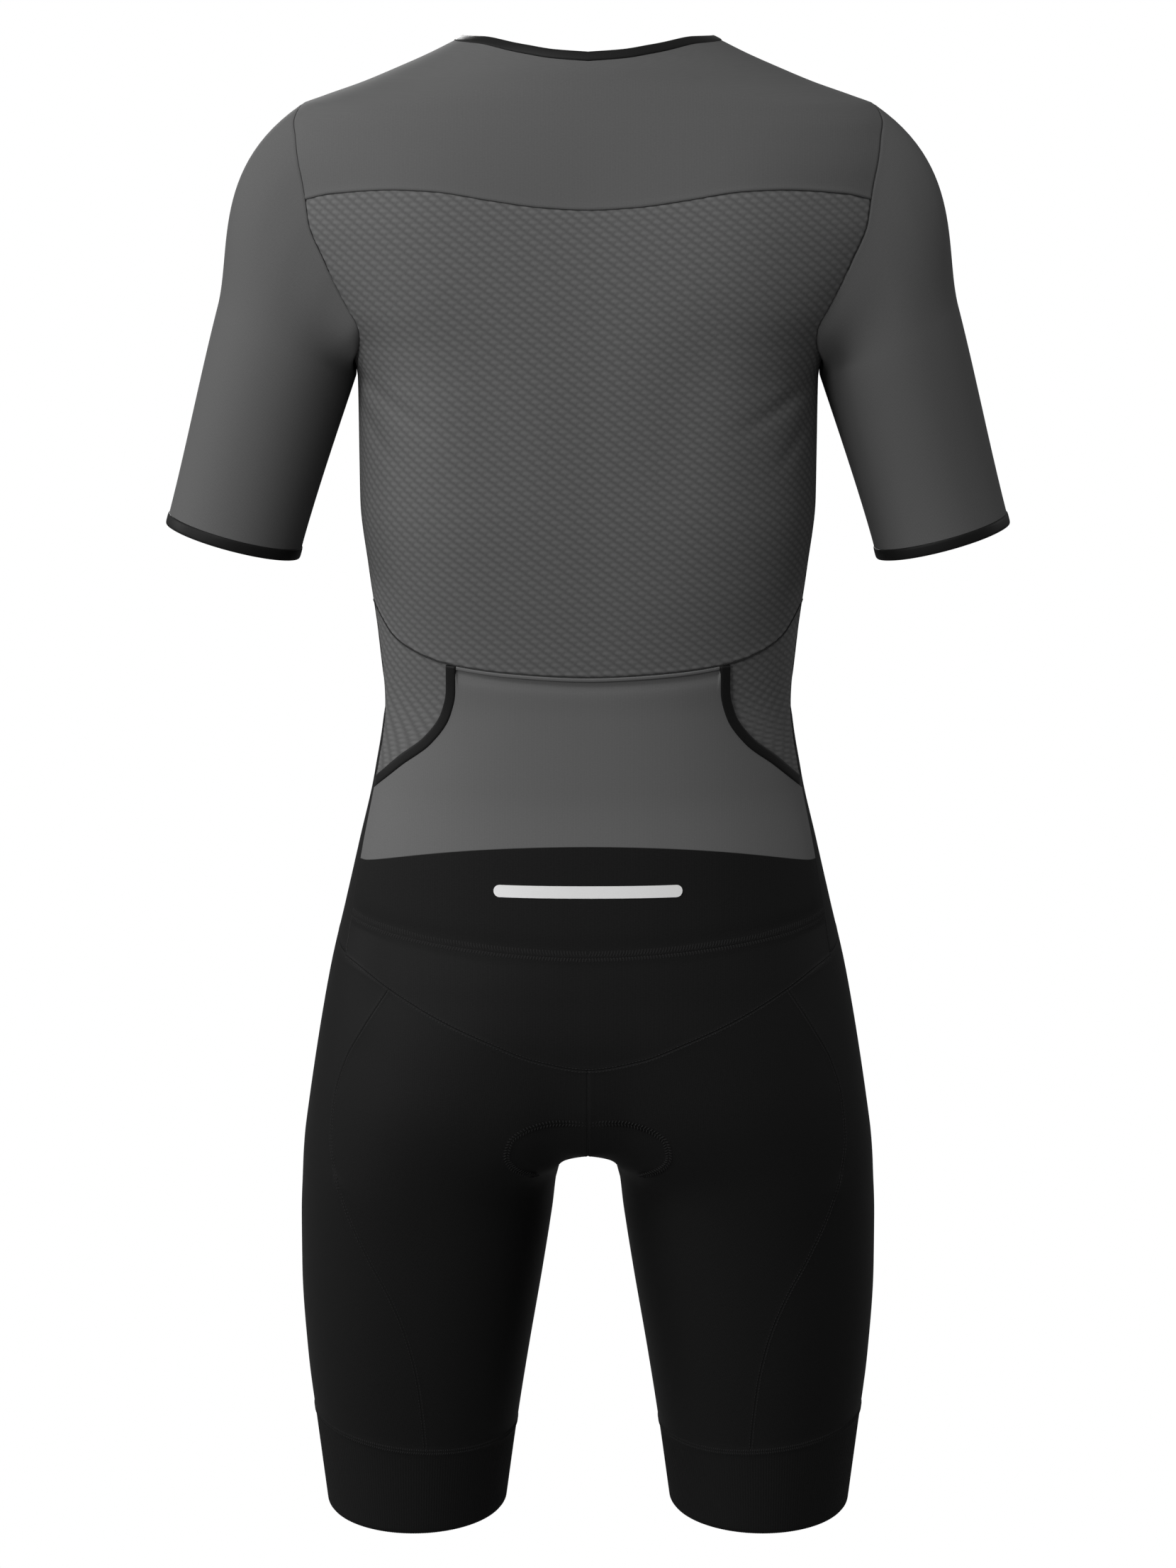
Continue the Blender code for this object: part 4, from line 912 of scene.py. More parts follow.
def pocket_panel():
    """Lies puffed on the lower back, with a hollow below its rolled edge: both fade over distances
    from the seams, and the hollow also past the corner where the edge meets the binding."""
    grid, u = pocket_grid()
    pocket = trunk_sheet(grid)
    corner = int(np.argmin(np.abs(u - POCKET_TOP_SHARE)))
    past = np.maximum(pocket.edge["back"] - pocket.edge["back"][:, corner:corner + 1], 0)
    over_arc = pocket.edge["top"] + PAST_CORNER * past
    lift = np.ones(pocket.rise.shape)
    for far in (pocket.edge["bottom"], pocket.edge["front"], over_arc):
        lift = lift * (1 - bell(far, POCKET_SEAM_REACH))
    pocket.rise = pocket.rise + POCKET_SEAM_LIFT + (POCKET_PUFF - POCKET_SEAM_LIFT) * lift
    pocket.rise += SEAMS["piped"](over_arc) + SEAMS["band"](pocket.edge["bottom"])
    cloth("pocket_panel_shell", [pocket.whole()], TWO_TONE_KNIT, ["pocket_panel"],
          wall=POCKET_CLOTH)


def waist_panel():
    """A Coons patch between the waist seam and the V seam, with its mirror image."""
    waist_end = side_end(WAIST_SEAM)
    v_end = side_end(V_SEAM)
    u = shares(0.20, STEP)
    v = shares(0.07, STEP)
    top = across(WAIST_SEAM, angle_across(0.0, WAIST_SEAM[0][1]), side_angle(waist_end), u)
    bottom = across(V_SEAM, angle_across(0.0, V_SEAM[0][1]), side_angle(v_end), u)
    left = middle_back(bottom[0, 1], top[0, 1], v)
    right = side_seam(v_end, waist_end, v)
    sheet = trunk_sheet(patch(bottom, top, left, right, u, v))
    sew(sheet, top="band", bottom="twin", front="turned")
    cloth("waist_panel_shell", [sheet.whole()], BLACK_KNIT, ["waist_panel"])


def front():
    """A Coons patch from the side seam and the armhole to the zip and the neck."""
    v_end = side_end(V_SEAM)
    u = shares(0.19, WIDE_STEP)
    v = shares(0.60, WIDE_STEP, knots=[FRONT_SIDE_SHARE, FRONT_ZIP_SHARE])
    angle = between(side_angle(v_end),
                    angle_across(ZIP_HALF_WIDTH, FRONT_WAIST_SEAM[0][1], -1), u)
    bottom = places(angle, smooth(FRONT_WAIST_SEAM, np.degrees(angle)))
    bottom[0, 1] = v_end
    left = chain(v, FRONT_SIDE_SHARE, lambda t: side_seam(v_end, UNDERARM_HEIGHT, t),
                 lambda t: armhole(UNDERARM_ANGLE - 360, SHOULDER_SEAM_ANGLE, t))
    neck_low = NECK_SEAM[0][1]

    def zip_edge(t):
        share = FRONT_SIDE_SHARE / FRONT_ZIP_SHARE
        height = np.where(t < share, between(FRONT_WAIST_SEAM[0][1], CHEST_ROW, t / share),
                          between(CHEST_ROW, neck_low, (t - share) / (1 - share)))
        return places(angle_across(ZIP_HALF_WIDTH, height, -1), height)

    start = np.degrees(zip_edge(np.array([1.0]))[0, 0])
    right = chain(v, FRONT_ZIP_SHARE, zip_edge, lambda t: neck(start, SHOULDER_SEAM_NECK, t))
    top = left[-1] + (right[-1] - left[-1]) * u[:, None]
    sheet = trunk_sheet(patch(bottom, top, left, right, u, v))
    sew(sheet, bottom="turned", back="turned", top="turned", front="turned")
    sheet.rise = sheet.rise + folds(sheet.points)
    cloth_pair("front", sheet, BLACK_KNIT)


def flat_crotch(points, side):
    """Lifts what lies beside the middle plane to the seam between the legs, all of it up to
    15 mm out and none past 25 mm, so that the gap between the legs has a flat top."""
    line = body(rise(CROTCH, V_SEAM[0][1] if side > 0 else FRONT_WAIST_SEAM[0][1],
                     np.linspace(0, 1, 120), side))
    line = line[np.argsort(line[:, 1])]
    seam = np.interp(points[..., 1], line[:, 1], line[:, 2])
    share = 1 - step_up(points[..., 0], 0.0155, 0.0245)
    near = (step_up(points[..., 2], -0.800, -0.788)
            * (1 - step_up(np.abs(points[..., 1]), 0.060, 0.090)))
    points[..., 2] += share * near * np.maximum(seam - points[..., 2], 0)


def leg_sheet(grid, side):
    """Smoothed down its columns by (above + 2 here + below) / 4, the more the further it lies
    from the side line and from its edges, which stay. The middle plane's edge faces straight
    back or front."""
    points = body(grid)
    normals = outward(grid)
    sheet = Sheet(points, normals)
    inner, outer = ("back", "front") if side > 0 else ("front", "back")
    share = np.clip(np.abs(points[..., 1]) / 0.055, 0, 1)
    for name, far in ((inner, 0.022), (outer, 0.010), ("top", 0.006), ("bottom", 0.006)):
        share = share * (1 - bell(sheet.edge[name], far))
    for _ in range(34):
        mean = (points[:-2] + 2 * points[1:-1] + points[2:]) / 4
        points[1:-1] += share[1:-1, :, None] * (mean - points[1:-1])
    flat_crotch(points, side)
    on_middle = np.abs(points[..., 0]) < 1e-5
    normals[on_middle, 0] = 0.0
    normals /= np.linalg.norm(normals, axis=-1)[..., None]
    sheet.rise = sheet.rise + folds(points, PAD_RIDGE, 160)
    return sheet


LEG_SEAM_END = float(angle_across(smooth(LEG_SEAM, LEG_SEAM_TOP), LEG_SEAM_TOP))


def on_band(left, right, u):
    """The lower edge between two side edges, whose first places are moved onto it."""
    angle = between(left[0, 0], right[0, 0], u)
    bottom = places(angle, band_height(angle))
    left[0], right[0] = bottom[0], bottom[-1]
    return bottom


def leg_back():
    """A Coons patch from the inseam and the seat's seam to the curved seam behind the leg."""
    u = shares(0.19, STEP)
    v = shares(0.33, STEP, knots=[LEG_INSEAM_SHARE])
    seat = across(V_SEAM, angle_across(0.0, V_SEAM[0][1]), LEG_SEAM_END, u)
    left = chain(v, LEG_INSEAM_SHARE, lambda t: inseam(float(band_height(pi)), CROTCH, t, 1),
                 lambda t: rise(CROTCH, seat[0, 1], t, 1))
    right = leg_seam(float(band_height(pi / 2)), seat[-1, 1], v)
    sheet = leg_sheet(patch(on_band(left, right, u), seat, left, right, u, v), 1)
    sew(sheet, bottom="narrow_band", top="twin", front="twin", back="turned")
    cloth_pair("leg_back", sheet, BLACK_KNIT)


def leg_front():
    """A Coons patch from the curved seam behind, round the outer side, to the inseam in front."""
    v_end = side_end(V_SEAM)
    u = np.concatenate([shares(0.07, WIDE_STEP) * HIP_SHARE,
                        HIP_SHARE + shares(0.22, WIDE_STEP)[1:] * (1 - HIP_SHARE)])
    v = shares(0.35, STEP, knots=[LEG_FRONT_INSEAM_SHARE])

    def waist(t):
        angle = between(side_angle(v_end), angle_across(0.0, FRONT_WAIST_SEAM[0][1], -1), t)
        return places(angle, np.where(t <= 0, v_end, smooth(FRONT_WAIST_SEAM, np.degrees(angle))))

    top = chain(u, HIP_SHARE, lambda t: across(V_SEAM, LEG_SEAM_END, side_angle(v_end), t), waist)
    left = leg_seam(float(band_height(pi / 2)), top[0, 1], v)
    right = chain(v, LEG_FRONT_INSEAM_SHARE,
                  lambda t: inseam(float(band_height(pi)), CROTCH, t, -1),
                  lambda t: rise(CROTCH, top[-1, 1], t, -1))
    sheet = leg_sheet(patch(on_band(left, right, u), top, left, right, u, v), -1)
    sew(sheet, bottom="narrow_band", top="twin", back="twin", front="turned")
    cloth_pair("leg_front", sheet, BLACK_KNIT)


RIBS = 236                      # round a leg band, 1.8 mm apart
RIB_COLUMNS = 4                 # of points to a rib
RIB_HEIGHT = 0.00022


def leg_band():
    """A ring of upright ribs, each |cos|^0.8 across, which fade towards the seam."""
    columns = RIBS * RIB_COLUMNS
    angle = pi - 2 * pi * np.arange(columns) / columns
    v = shares(0.065, RIB_STEP)
    grid = places(angle[None, :], HEM + (band_height(angle)[None, :] - HEM) * v[:, None])
    sheet = Sheet(body(grid), outward(grid))
    sew(sheet, top="narrow_band", bottom="hem")
    ribbed = 1 - bell(sheet.edge["top"], 0.004)
    rib = np.abs(np.cos(pi * np.arange(columns) / RIB_COLUMNS)) ** 0.8
    sheet.rise = sheet.rise + RIB_HEIGHT * (rib[None, :] - 1) * ribbed
    cloth_pair("leg_band", sheet, RIB_KNIT, ring=True)


def sleeve_oval(turn, middle, half_width, half_depth, lean):
    """An oval across the sleeve: middle + a cos t along the leaning way + b sin t along Y."""
    outward_end = np.array([cos(radians(lean)), 0.0, sin(radians(lean))])
    return (np.array(middle) + half_width * np.cos(turn) * outward_end
            + half_depth * np.sin(turn) * np.array([0.0, 1.0, 0.0]))


def cubic(t, start, end, leave, arrive):
    """Hermite cubic between two points with a tangent at each."""
    return ((1 + 2 * t) * (1 - t) ** 2 * start + t * (1 - t) ** 2 * leave
            + t * t * (3 - 2 * t) * end + t * t * (t - 1) * arrive)


SLEEVE_COLUMNS = 132
SLEEVE_AXIS = np.array([sin(radians(SLEEVE_LEAN)), 0.0, -cos(radians(SLEEVE_LEAN))])


def sleeve():
    """Rings of two cubics a column, from the armhole by the upper arm's ring to the cuff."""
    degrees = UNDERARM_ANGLE - 360 * np.arange(SLEEVE_COLUMNS) / SLEEVE_COLUMNS
    turn = np.radians(degrees)[:, None]
    start = body(np.concatenate([armhole(a, a, [0.0]) for a in degrees]))
    middle = sleeve_oval(turn, UPPER_ARM_MIDDLE, UPPER_ARM_HALF_WIDTH, UPPER_ARM_HALF_DEPTH,
                         UPPER_ARM_LEAN)
    end = sleeve_oval(turn, CUFF_MIDDLE, CUFF_HALF_WIDTH, CUFF_HALF_DEPTH, SLEEVE_LEAN)
    end = end - SLEEVE_AXIS * CUFF_WIDTH
    shoulder = np.array([cos(radians(CAP_SLOPE)), 0.0, -sin(radians(CAP_SLOPE))])
    top = (1 + np.cos(turn)) / 2
    cap = np.linalg.norm(middle - start, axis=1)[:, None]
    tube = np.linalg.norm(end - middle, axis=1)[:, None]
    leave = cap * (top * CAP_FULLNESS * shoulder + (1 - top) * SLEEVE_AXIS)
    even = np.minimum(cap / UPPER_ARM_SHARE, tube / (1 - UPPER_ARM_SHARE))
    cap_run = shares(0.12, WIDE_STEP)
    tube_run = shares(0.14, WIDE_STEP)
    rings = [cubic(t, start, middle, leave, even * UPPER_ARM_SHARE * SLEEVE_AXIS)
             for t in cap_run]
    rings += [cubic(t, middle, end, even * (1 - UPPER_ARM_SHARE) * SLEEVE_AXIS,
                    tube * SLEEVE_AXIS) for t in tube_run[1:]]
    points = np.stack(rings[::-1])
    round_it = np.roll(points, -1, axis=1) - np.roll(points, 1, axis=1)
    up_it = np.gradient(points, axis=0)
    normals = np.cross(up_it, round_it)
    normals /= np.linalg.norm(normals, axis=-1)[..., None]
    sheet = Sheet(points, normals)
    sew(sheet, top="turned")
    return sheet


# ------------------------------------------------------------ bindings

BINDING_SECTION = 14            # points round a binding's section


def rounded_strip(name, line, way, normal, width, thickness, sink, replaces=(), closed=False,
                  material=BINDING, slot="black_binding"):
    """A folded band along a line: a superellipse across it, width by thickness, whose outer face
    stands `thickness - sink` above the line."""
    turn = 2 * pi * np.arange(BINDING_SECTION) / BINDING_SECTION
    c, s = np.cos(turn), np.sin(turn)
    flat_x = np.sign(c) * np.abs(c) ** 0.5 * width / 2 + width / 2
    flat_y = np.sign(s) * np.abs(s) ** 0.6 * thickness / 2 + thickness / 2 - sink
    points = (line[:, None] + flat_x[None, :, None] * way[:, None]
              + flat_y[None, :, None] * normal[:, None])
    count = len(line)
    i, j = np.meshgrid(np.arange(count if closed else count - 1), np.arange(BINDING_SECTION),
                       indexing="ij")
    k, l = (i + 1) % count, (j + 1) % BINDING_SECTION
    faces = np.stack([i * BINDING_SECTION + j, k * BINDING_SECTION + j,
                      k * BINDING_SECTION + l, i * BINDING_SECTION + l], axis=-1).reshape(-1, 4)
    length = run_along(line, 0)
    section = np.concatenate([[0], np.cumsum(np.hypot(np.diff(flat_x), np.diff(flat_y)))])
    flat = np.stack(np.meshgrid(length, section, indexing="ij"), axis=-1).reshape(-1, 2)
    mesh = build_mesh(name, points, faces, flat[faces])
    bm = bmesh.new()
    bm.from_mesh(mesh)
    if not closed:
        bmesh.ops.holes_fill(bm, edges=[e for e in bm.edges if e.is_boundary], sides=0)
    bmesh.ops.recalc_face_normals(bm, faces=bm.faces)
    bm.to_mesh(mesh)
    bm.free()
    mesh.shade_smooth()
    finish_piece(name, mesh, material, replaces)


def ways(line_places):
    """Points of a line of places, the way square to it along the cloth and the way out."""
    points = body(line_places)
    normal = outward(line_places)
    way = np.cross(np.gradient(points, axis=0), normal)
    return points, way / np.linalg.norm(way, axis=1)[:, None], normal


def mirror_x(array):
    return array * np.array([-1.0, 1.0, 1.0])


SIDES = (("left", np.array), ("right", mirror_x))


def neck_binding():
    """Its ends are cut upright beside the zip, by a shear of its last centimetre."""
    first = np.degrees(float(angle_across(ZIP_HALF_WIDTH, NECK_SEAM[0][1], -1)))
    line, way, normal = ways(neck(90.0, first, np.linspace(0, 1, 140)))
    way[0, 0] = 0.0
    run = np.gradient(line, axis=0)
    run /= np.linalg.norm(run, axis=1)[:, None]
    near_end = np.clip(1 - np.linalg.norm(line - line[-1], axis=1) / 0.010, 0, 1)
    way = way - (near_end * way[:, 0] / run[-1, 0])[:, None] * run
    whole = [np.concatenate([mirror_x(a)[:0:-1], a]) for a in (line, way, normal)]
    rounded_strip("neck_binding_shell", *whole, BINDING_WIDTH, 0.0024, 0.0016, ["neck_binding"])


def pocket_bindings():
    """Their low ends are sunk 2.2 mm, under the fronts."""
    t = np.linspace(0, 1, 70)
    line, way, normal = ways(along_binding(-BINDING_HALF, BINDING_LOW_END, t))
    line = line - 0.0022 * step_up(t, 0.95, 1.0)[:, None] * normal
    for side, flip in SIDES:
        rounded_strip(f"pocket_binding_{side}_shell", flip(line), flip(way), flip(normal),
                      POCKET_BINDING_WIDTH, 0.0022, -0.0004, [f"pocket_binding_{side}"])


PIPING_WIDTH = 0.0026


def arc_piping():
    """The rolled top edge of the pocket panel, from one binding to the other."""
    inner = POCKET_BINDING[0][0] - BINDING_HALF
    last = float(angle_across(inner, smooth(ARC_SEAM, inner)))
    line, way, normal = ways(across(ARC_SEAM, pi / 2, last, np.linspace(0, 1, 80)))
    way[0, 0] = 0.0
    line, way, normal = (np.concatenate([mirror_x(a)[:0:-1], a]) for a in (line, way, normal))
    rounded_strip("pocket_piping", line - 0.0002 * way, -way, normal, PIPING_WIDTH, 0.0019, 0.0003,
                  material=ROLLED_EDGE, slot="grey_knit")


def cuff_bindings():
    turn = np.radians(np.arange(0, 360, 3.0))[:, None]
    end = sleeve_oval(turn, CUFF_MIDDLE, CUFF_HALF_WIDTH, CUFF_HALF_DEPTH, SLEEVE_LEAN)
    middle = np.array(CUFF_MIDDLE)
    normal = end - middle
    normal /= np.linalg.norm(normal, axis=1)[:, None]
    way = np.repeat(-SLEEVE_AXIS[None], len(end), axis=0)
    for side, flip in SIDES:
        rounded_strip(f"cuff_binding_{side}_shell", flip(end), flip(way), flip(normal),
                      CUFF_WIDTH, 0.0023, 0.0015, [f"cuff_binding_{side}"], closed=True)


# ------------------------------------------------------------ reflective strip

STRIP_HEIGHT = -0.5665          # its middle line
STRIP_LENGTH = 0.132
STRIP_WIDTH = 0.0085
STRIP_FILM = 0.00022            # twice as thick as the real film, so that its edge shows


def reflective_strip():
    """A plain strip with round ends, pressed on the pocket: at each height its half length is
    (length - width) / 2 + sqrt((width / 2)^2 - height^2)."""
    v = np.sin(np.linspace(-pi / 2, pi / 2, 15))
    u = np.linspace(-1, 1, 60)
    half = (STRIP_LENGTH - STRIP_WIDTH) / 2 + STRIP_WIDTH / 2 * np.sqrt(1 - v ** 2)
    height = STRIP_HEIGHT + v[:, None] * STRIP_WIDTH / 2
    grid = places(angle_across(-u[None] * half[:, None], height), height)
    sheet = Sheet(body(grid), outward(grid))
    sheet.rise = sheet.rise + POCKET_PUFF + STRIP_FILM
    cloth("reflective_strip", [sheet], REFLECTIVE, wall=STRIP_FILM)


# ------------------------------------------------------------ sewing

THREAD_SIDES = 6
THREAD_BOW = 0.00022            # how far the middle of a thread across a seam stands off it
STITCH_BOW = 0.00016            # and of a stitch along it
SEAM_THREAD = 0.00024           # radii: the thread that shows in a seam, also drawn as lines of painted shade,
ARC_THREAD_AND_SHADE = 0.00050            # the one over the arc seam, which also paints its shade,
ALLOWANCE = 0.0008              # a rolled allowance,
STITCH = 0.00020                # a straight stitch,
WAIST_COVER, PAD_COVER, BAND_COVER = 0.00078, 0.00050, 0.00058      # and three cover threads


def threads(name, curves, normals, radius, material):
    """Short lengths of thread: a round tube along each open curve (n, k, 3), closed at its ends."""
    count, steps = curves.shape[:2]
    along = np.gradient(curves, axis=1)
    along /= np.linalg.norm(along, axis=-1)[..., None] + 1e-12
    side = np.cross(along, normals)
    side /= np.linalg.norm(side, axis=-1)[..., None] + 1e-12
    out = np.cross(side, along)
    turn = 2 * pi * np.arange(THREAD_SIDES) / THREAD_SIDES
    ring = (np.cos(turn)[:, None, None, None] * side + np.sin(turn)[:, None, None, None] * out)
    taper = np.full(steps, radius)
    taper[0] = taper[-1] = radius * 0.45
    points = curves[None] + ring * taper[None, None, :, None]
    points = np.moveaxis(points, 0, 2)      # curve, step, side
    i, j = np.meshgrid(np.arange(steps - 1), np.arange(THREAD_SIDES), indexing="ij")
    k = (j + 1) % THREAD_SIDES
    tube = np.stack([i * THREAD_SIDES + j, i * THREAD_SIDES + k, (i + 1) * THREAD_SIDES + k,
                     (i + 1) * THREAD_SIDES + j], axis=-1).reshape(-1, 4)
    last = (steps - 1) * THREAD_SIDES
    caps = np.array([[3, 2, 1, 0], [5, 4, 3, 0],
                     [last, last + 1, last + 2, last + 3], [last, last + 3, last + 4, last + 5]])
    one = np.concatenate([tube, caps])
    faces = (one[None] + (np.arange(count) * steps * THREAD_SIDES)[:, None, None]).reshape(-1, 4)
    flat = np.zeros((count * steps * THREAD_SIDES, 2))
    flat[:, 0] = np.tile(np.arange(THREAD_SIDES) * radius, count * steps)
    flat[:, 1] = np.repeat(np.arange(count * steps) * radius, THREAD_SIDES)
    mesh = build_mesh(name, points, faces, flat[faces])
    finish_piece(name, mesh, material)


class SeamLine:
    """A seam with its length and, at any length along it, its point, way across and way out."""

    def __init__(self, line_places):
        self.points, self.way, self.normal = ways(line_places)
        self.points = self.points + back_form(self.points)[:, None] * self.normal
        self.length = run_along(self.points, 0)

    def mirror(self):
        made = object.__new__(SeamLine)
        made.points, made.way, made.normal = (mirror_x(a) for a in
                                              (self.points, self.way, self.normal))
        made.length = self.length
        return made

    def at(self, length):
        return [np.stack([np.interp(length, self.length, values[:, c]) for c in range(3)], axis=-1)
                for values in (self.points, self.way, self.normal)]

    def place(self, length, over, up):
        point, way, normal = self.at(length)
        return point + over[..., None] * way + up[..., None] * normal, normal


def loops(seam, pitch, low, high, lean, bulge, height, steps, first=0.0):
    """A row of threads across a seam: stitch i crosses from `low` to `high`, leans along the seam
    by `lean` and bows by `bulge`, as an arc."""
    start = np.arange(first + pitch / 2, seam.length[-1] - pitch / 2, pitch)
    t = np.linspace(0, 1, steps)
    along = start[:, None] + lean * (t - 0.5)[None] + bulge * np.sin(pi * t)[None]
    over = np.broadcast_to(low + (high - low) * t, along.shape)
    up = np.broadcast_to(height + THREAD_BOW * np.sin(pi * t), along.shape)
    return seam.place(along, over, up)


def dashes(seam, pitch, share, over, height, steps=4):
    """A row of straight stitches beside a seam, each `share` of the pitch long."""
    start = np.arange(0.0, seam.length[-1] - pitch, pitch)
    t = np.linspace(0, 1, steps)
    along = start[:, None] + pitch * (share * t + (1 - share) / 2)[None]
    up = np.broadcast_to(height + STITCH_BOW * np.sin(pi * t), along.shape)
    return seam.place(along, np.full(along.shape, over), up)


def sew_rows(name, rows, radius, material):
    """One piece from rows of threads that have the same number of points each."""
    curves, normals = zip(*rows)
    threads(name, np.concatenate(curves), np.concatenate(normals), radius, material)


def seam_threads(name, lines, radius, height, material, over=0.0):
    """One dark thread along each seam, sunk between its two cloths; where it is darker than the
    cloth beside it, it also paints shade along the seam.
    """
    curves, normals = zip(*(line.place(line.length, np.full(len(line.length), over),
                                       np.full(len(line.length), height)) for line in lines))
    threads(name, np.stack(curves), np.stack(normals), radius, material)


def both(line):
    return [line, line.mirror()]


THREAD_END = 105.0              # degrees round the armhole; the seam closes over it below


def seam_lines():
    """The threads that show in the seams of the yoke, the arc, the sides and the seat. Those of the
    yoke, the armholes and the arc are dark lines on the grey cloth: both the seam's thread and
    painted shade in its groove.
    """
    dense = np.linspace(0, 1, 200)
    yoke = SeamLine(across(YOKE_SEAM, pi / 2, YOKE_CORNER_PLACE[0], dense))
    hole = SeamLine(armhole(THREAD_END, SHOULDER_SEAM_ANGLE, dense))
    front_hole = SeamLine(armhole(-THREAD_END, SHOULDER_SEAM_ANGLE, dense))
    # dark grey line: the seam's thread and painted shade of the yoke's and armholes' grooves
    seam_threads("yoke_thread_and_shade", both(yoke) + both(hole) + both(front_hole), SEAM_THREAD, -0.0002,
                 THREAD_AND_SHADE_GREY)
    arc_end = side_end(ARC_SEAM)
    arc = SeamLine(across(ARC_SEAM, pi / 2, side_angle(arc_end), dense))
    # black line: the seam's thread and painted shade under the arc seam's edge
    seam_threads("arc_thread_and_shade", both(arc), ARC_THREAD_AND_SHADE, 0.0003, THREAD)
    side = SeamLine(side_seam(side_end(V_SEAM), UNDERARM_HEIGHT, dense))
    seam_threads("side_thread", both(side), SEAM_THREAD, -0.0002, THREAD)
    seat = SeamLine(rise(V_SEAM[0][1], CROTCH, dense, 1))
    seam_threads("seat_thread", [seat], SEAM_THREAD, -0.0003, THREAD)


def inner_seams():
    """The rolled allowance inside each seam, which closes it to the light."""
    dense = np.linspace(0, 1, 100)
    waist_end, v_end, arc_end = side_end(WAIST_SEAM), side_end(V_SEAM), side_end(ARC_SEAM)
    front_low, back_low = FRONT_WAIST_SEAM[0][1], V_SEAM[0][1]
    front_angle = between(side_angle(v_end), -pi / 2, dense)
    neck_place = neck(SHOULDER_SEAM_NECK, SHOULDER_SEAM_NECK, [0.0])[0]
    shoulder_place = armhole(SHOULDER_SEAM_ANGLE, SHOULDER_SEAM_ANGLE, [0.0])[0]
    angle = pi - 2 * pi * dense
    runs = (across(YOKE_SEAM, pi / 2, YOKE_CORNER_PLACE[0], dense),
            across(ARC_SEAM, pi / 2, side_angle(arc_end), dense),
            across(WAIST_SEAM, pi / 2, side_angle(waist_end), dense),
            across(V_SEAM, angle_across(0.0, back_low), side_angle(v_end), dense),
            armhole(UNDERARM_ANGLE, SHOULDER_SEAM_ANGLE, dense),
            armhole(UNDERARM_ANGLE - 360, SHOULDER_SEAM_ANGLE, dense),
            neck_place + (shoulder_place - neck_place) * dense[:, None],
            side_seam(v_end, UNDERARM_HEIGHT, dense),
            places(front_angle, smooth(FRONT_WAIST_SEAM, np.degrees(front_angle))),
            rise(CROTCH, back_low, dense, 1), rise(CROTCH, front_low, dense, -1),
            inseam(float(band_height(pi)), CROTCH, dense, 1),
            leg_seam(float(band_height(pi / 2)), LEG_SEAM_TOP, dense),
            places(angle, band_height(angle)))
    lines = [line for run in runs for line in both(SeamLine(run))]
    seam_threads("inner_seams", lines, ALLOWANCE, -0.0015, THREAD)


def pad_line(steps=320):
    """The pad's edge as places along a curve through its rows by length."""
    rows = np.array(PAD_EDGE)
    spots = body(places(np.radians(rows[:, 0]), rows[:, 1]))
    length = run_along(spots, 0)
    track = [(float(a), float(b), float(c)) for a, (b, c) in zip(length, rows)]
    at = np.linspace(0, length[-1], steps)
    return places(np.radians(smooth(track, at, 1)), smooth(track, at, 2))


# Rows of cover thread across a seam. Columns: pitch, from, to, lean, bow, height.
WAIST_ROWS = ((0.00215, 0.0002, 0.0052, 0.0018, 0.0005, -0.00002),
              (0.00215, -0.0036, 0.0000, -0.0010, 0.0003, -0.00032))
PAD_ROWS = ((0.0023, 0.0000, 0.0027, 0.0012, 0.0002, -0.00050),
            (0.0023, -0.0027, 0.0000, -0.0012, 0.0002, -0.00050))
BAND_ROWS = ((0.00165, -0.0003, 0.0027, 0.0010, 0.0003, -0.00016),
             (0.00165, -0.0027, 0.0003, -0.0010, 0.0003, -0.00016))
STITCH_PITCH = 0.0024           # of the twin needles' stitches
STITCH_SHARE = 0.85             # of the pitch that a stitch is long
NEEDLE_GAP = 0.0011             # from the seam to each needle's row
WAIST_FOLD = -0.0043            # from the waist seam to the fold below its cover threads, where a dark line paints its shadow


def cover_rows(name, seams, table, radius, steps=4):
    sew_rows(name, [loops(seam, *row, steps) for seam in seams for row in table], radius,
             COVER_THREAD)


def sewing():
    dense = np.linspace(0, 1, 240)
    # waist: a looped cover thread over a fold, and below it a very dark line that paints the fold's
    # shadow
    waist_end = side_end(WAIST_SEAM)
    waist = both(SeamLine(across(WAIST_SEAM, angle_across(0.0, WAIST_SEAM[0][1]),
                                 side_angle(waist_end), dense)))
    cover_rows("waist_coverstitch", waist, WAIST_ROWS, WAIST_COVER, 7)
    seam_threads("waist_painted_shadow", waist, SEAM_THREAD, -0.00008, PAINTED_SHADOW_LINE, over=WAIST_FOLD)
    # V seam and the curved leg seams: twin needles
    v_end = side_end(V_SEAM)
    v_seam = SeamLine(across(V_SEAM, angle_across(0.0, V_SEAM[0][1]), side_angle(v_end), dense))
    leg = SeamLine(leg_seam(float(band_height(pi / 2)), LEG_SEAM_TOP, dense))
    for name, seams, height in (("v_seam", both(v_seam), 0.00012), ("leg_seam_left", [leg], 0.0),
                                ("leg_seam_right", [leg.mirror()], 0.0)):
        rows = [dashes(seam, STITCH_PITCH, STITCH_SHARE, over, height)
                for seam in seams for over in (-NEEDLE_GAP, NEEDLE_GAP)]
        sew_rows(name + "_rows", rows, STITCH, THREAD)
    # seat pad: a zigzag round its edge
    cover_rows("pad_coverstitch", both(SeamLine(pad_line())), PAD_ROWS, PAD_COVER)
    # leg bands: cover thread all round
    angle = pi - 2 * pi * np.linspace(0, 1, 400)
    ring = SeamLine(places(angle, band_height(angle)))
    for side, seam in zip(("left", "right"), both(ring)):
        cover_rows(f"leg_band_coverstitch_{side}", [seam], BAND_ROWS, BAND_COVER)


